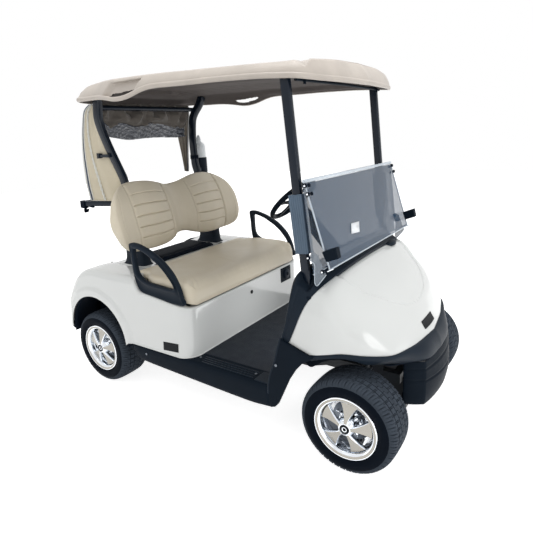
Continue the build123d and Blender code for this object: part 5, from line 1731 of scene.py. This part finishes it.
for name, side, rear_edge, front_edge, fold, cloth_look in (
        ("left", 1, spline(FAR_REAR, 60), spline(FAR_FRONT, 60), far_fold, CANVAS_DARK),
        ("right", -1, spline(NEAR_REAR, 60), spline(NEAR_FRONT, 60), near_fold, CANVAS)):
    def spot(v, u, out=0.0):
        s, y, z = sheet_place(rear_edge, front_edge, v, u, fold)
        return at(s, side * (y + out), z)

    rows = [[spot(v, u) for u in np.linspace(0, 1, 70)] for v in np.linspace(0, 1, 70)]
    cloth = piece(f"cover_side_{name}", Shape().grid(rows), cloth_look, "cover_sides",
                  thick=1.4, sharp=70)
    pipes, zips = Shape(), Shape()
    down = np.linspace(0, 1, 60)
    if side < 0:
        for shift, wide in ((0.0, 4.2), (0.030, 4.2), (0.115, 3.4)):
            pipes.tube([spot(v, shift, 2) for v in down], wide, up=(0, 1, 0), sides=8)
        # A twisted cord down the middle of the sheet
        for phase in (0, math.pi):
            pipes.tube([spot(v, 0.30 + 0.16 * v**1.5 + 0.012 * math.cos(70 * v + phase),
                             4 + 3 * math.sin(70 * v + phase))
                        for v in np.linspace(0, 1, 220)], 4.4, up=(0, 1, 0), sides=6)
        zips.sweep([spot(v, 0.075, 2) for v in down], rounded_profile(4, 13, 1), up=(0, 1, 0))
    else:
        pipes.tube([spot(v, 1.0, -2) for v in down], 3.2, up=(0, 1, 0), sides=8)
        zips.sweep([spot(v, 0.9, -5) for v in down], rounded_profile(3, 9, 1), up=(0, 1, 0))
    hem = Shape().tube([spot(1, u) for u in np.linspace(0, 1, 30)], 3.6, up=(0, 0, 1), sides=8)
    trims = [piece(f"cover_piping_{name}", pipes, PIPING),
             piece(f"cover_zip_{name}", zips, ZIP),
             piece(f"cover_hem_{name}", hem, cloth_look)]

# Lower edge of the valance: (y, z)
SWAG = table(((-372, 1584), (-338, 1580), (-299, 1557), (-247, 1573), (-200, 1574), (-166, 1568), (-82, 1552),
              (-30, 1563), (23, 1574), (83, 1578), (155, 1568), (210, 1556), (254, 1549), (300, 1545),
              (345, 1560), (372, 1600)), 1)
STRIP = table(((-330, 1508), (-303, 1503), (-260, 1496), (-158, 1483), (-48, 1488), (70, 1490), (193, 1486),
               (271, 1485), (330, 1488)), 1)
COVER_TOP = 1693
# Drapes hang from these places along the tube: (y, depth of the fold, half width)
DRAPES = ((-330, 30, 60), (-205, 44, 74), (-82, 52, 66), (30, 30, 50), (120, 56, 80), (240, 50, 60),
          (345, 36, 44))


def drape(y, v):
    """How far the valance's folds stand forward of it."""
    out = 0
    for k, (at_y, deep, wide) in enumerate(DRAPES):
        lean = at_y + (38 if k % 2 else -34) * (v - 0.35)
        across = max(0, 1 - abs(y - lean) / (wide * (0.35 + 0.75 * v)))
        out += deep * across * math.sin(math.pi * min(v * 1.15, 1)) ** 0.8
    cross = 9 * math.sin((y + 330 * v) / 46) * math.sin(math.pi * v)
    return out + cross + 3.5 * math.sin((y - 420 * v) / 23) * v * (1 - v) * 3


rows = []
for v in np.linspace(0, 1, 56):
    rows.append([at(14 + 26 * (1 - smoothstep(v, 0, 0.16)) + drape(y, v), y,
                    COVER_TOP + (SWAG(y) - COVER_TOP) * v)
                 for y in np.linspace(-368, 368, 220)])
# Its dark canvas is painted shade under the roof.
valance = piece("cover_valance_cloth", Shape().grid(rows), VALANCE_PAINTED_SHADE, "cover_valance",
                thick=1.4, sharp=70)
rows = []
for v in np.linspace(0, 1, 26):
    row = []
    for y in np.linspace(-350, 334, 280):
        crinkle = (7 * math.sin(y / 31 + 2 * math.sin(y / 47 + 3 * v))
                   + 5 * math.sin((y - 300 * v) / 19 + 2 * math.sin(y / 71))
                   + 2.5 * math.sin((y + 260 * v) / 9 + 3 * math.sin(y / 37)))
        row.append(at(15 + crinkle * (0.5 + 0.5 * v), y, SWAG(y) + 9 + (STRIP(y) - SWAG(y) - 9) * v))
    rows.append(row)
window = piece("cover_clear_strip", Shape().grid(rows), VINYL_CLEAR, "cover_window",
               thick=0.8, sharp=70)


# ---------------------------------------------------------------- sand bottle

BOTTLE = at(41, 443, 0)
holder = Shape().lathe(((1150, 0.01), (1150, 46), (1154, 48), (1330, 48), (1336, 47), (1336, 44.6),
                        (1158, 44.6), (1157, 0.01)), BOTTLE, (0, 0, 1), 40, closed=False)
holder.prism(((62, 408), (80, 408), (106, 338), (90, 338)), 1225, 1265, "plan")
piece("bottle_cup", holder, SATIN, "bottle_holder", sharp=40)
bottle = Shape().lathe(((1160, 0.01), (1160, 40), (1166, 43.4), (1364, 43.4), (1414, 42.5), (1428, 39),
                        (1438, 30), (1444, 20), (1446, 18), (1462, 18), (1464, 15), (1478, 14.5), (1484, 10),
                        (1490, 7.5), (1493, 6), (1494, 0.01)), BOTTLE, (0, 0, 1), 40, closed=False)
piece("bottle_body", bottle, BOTTLE_WHITE, "sand_bottle", sharp=40)
strap = Shape()
strap.sweep([at(83 + 31 * math.cos(a), 339 + 24 * math.sin(a), 1345) for a in np.linspace(
    0, 2 * math.pi, 24, endpoint=False)], rounded_profile(3, 26, 1), closed=True, up=(0, 0, 1))
piece("post_strap", strap, LINER)


# ---------------------------------------------------------------- undercarriage looks

COIL_TURNS = 7.5
springs = Shape()
for side in SIDES:
    low, high = Vector(at(1670, side * 353, 334)), Vector(at(1670, side * 287, 598))
    axis = (high - low).normalized()
    across = axis.cross(Vector((1, 0, 0))).normalized()
    coil = []
    for k in range(150):
        t = k / 149
        a = 2 * math.pi * COIL_TURNS * t
        round_axis = Vector((1, 0, 0)) * math.cos(a) + across * math.sin(a)
        coil.append(tuple(low + (high - low) * (0.08 + 0.84 * t) + round_axis * 23 * MM))
    springs.tube(coil, 4.6, up=tuple(axis), sides=8)
    springs.lathe(((0, 26), (10, 26), (14, 16), (120, 15), (122, 9), (250, 9), (252, 26), (264, 26),
                   (264, 0.01), (0, 0.01)), low, axis, 24)
piece("coil_shocks", springs, STEEL, "front_shocks", sharp=40)

CARRIED = (
    (STEEL, ("frame_rails", "rear_axle", "rear_suspension", "front_suspension", "knuckle_left",
             "knuckle_right", "steering_rack", "pedals")),
    (TUBE, ("steering_column",)),
    (BLACK, ("floorboard", "bag_well", "rear_bumper", "battery_pack")),
)
for material, nodes in CARRIED:
    for node in nodes:
        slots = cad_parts[node].data.materials
        slots.clear()
        slots.append(material)
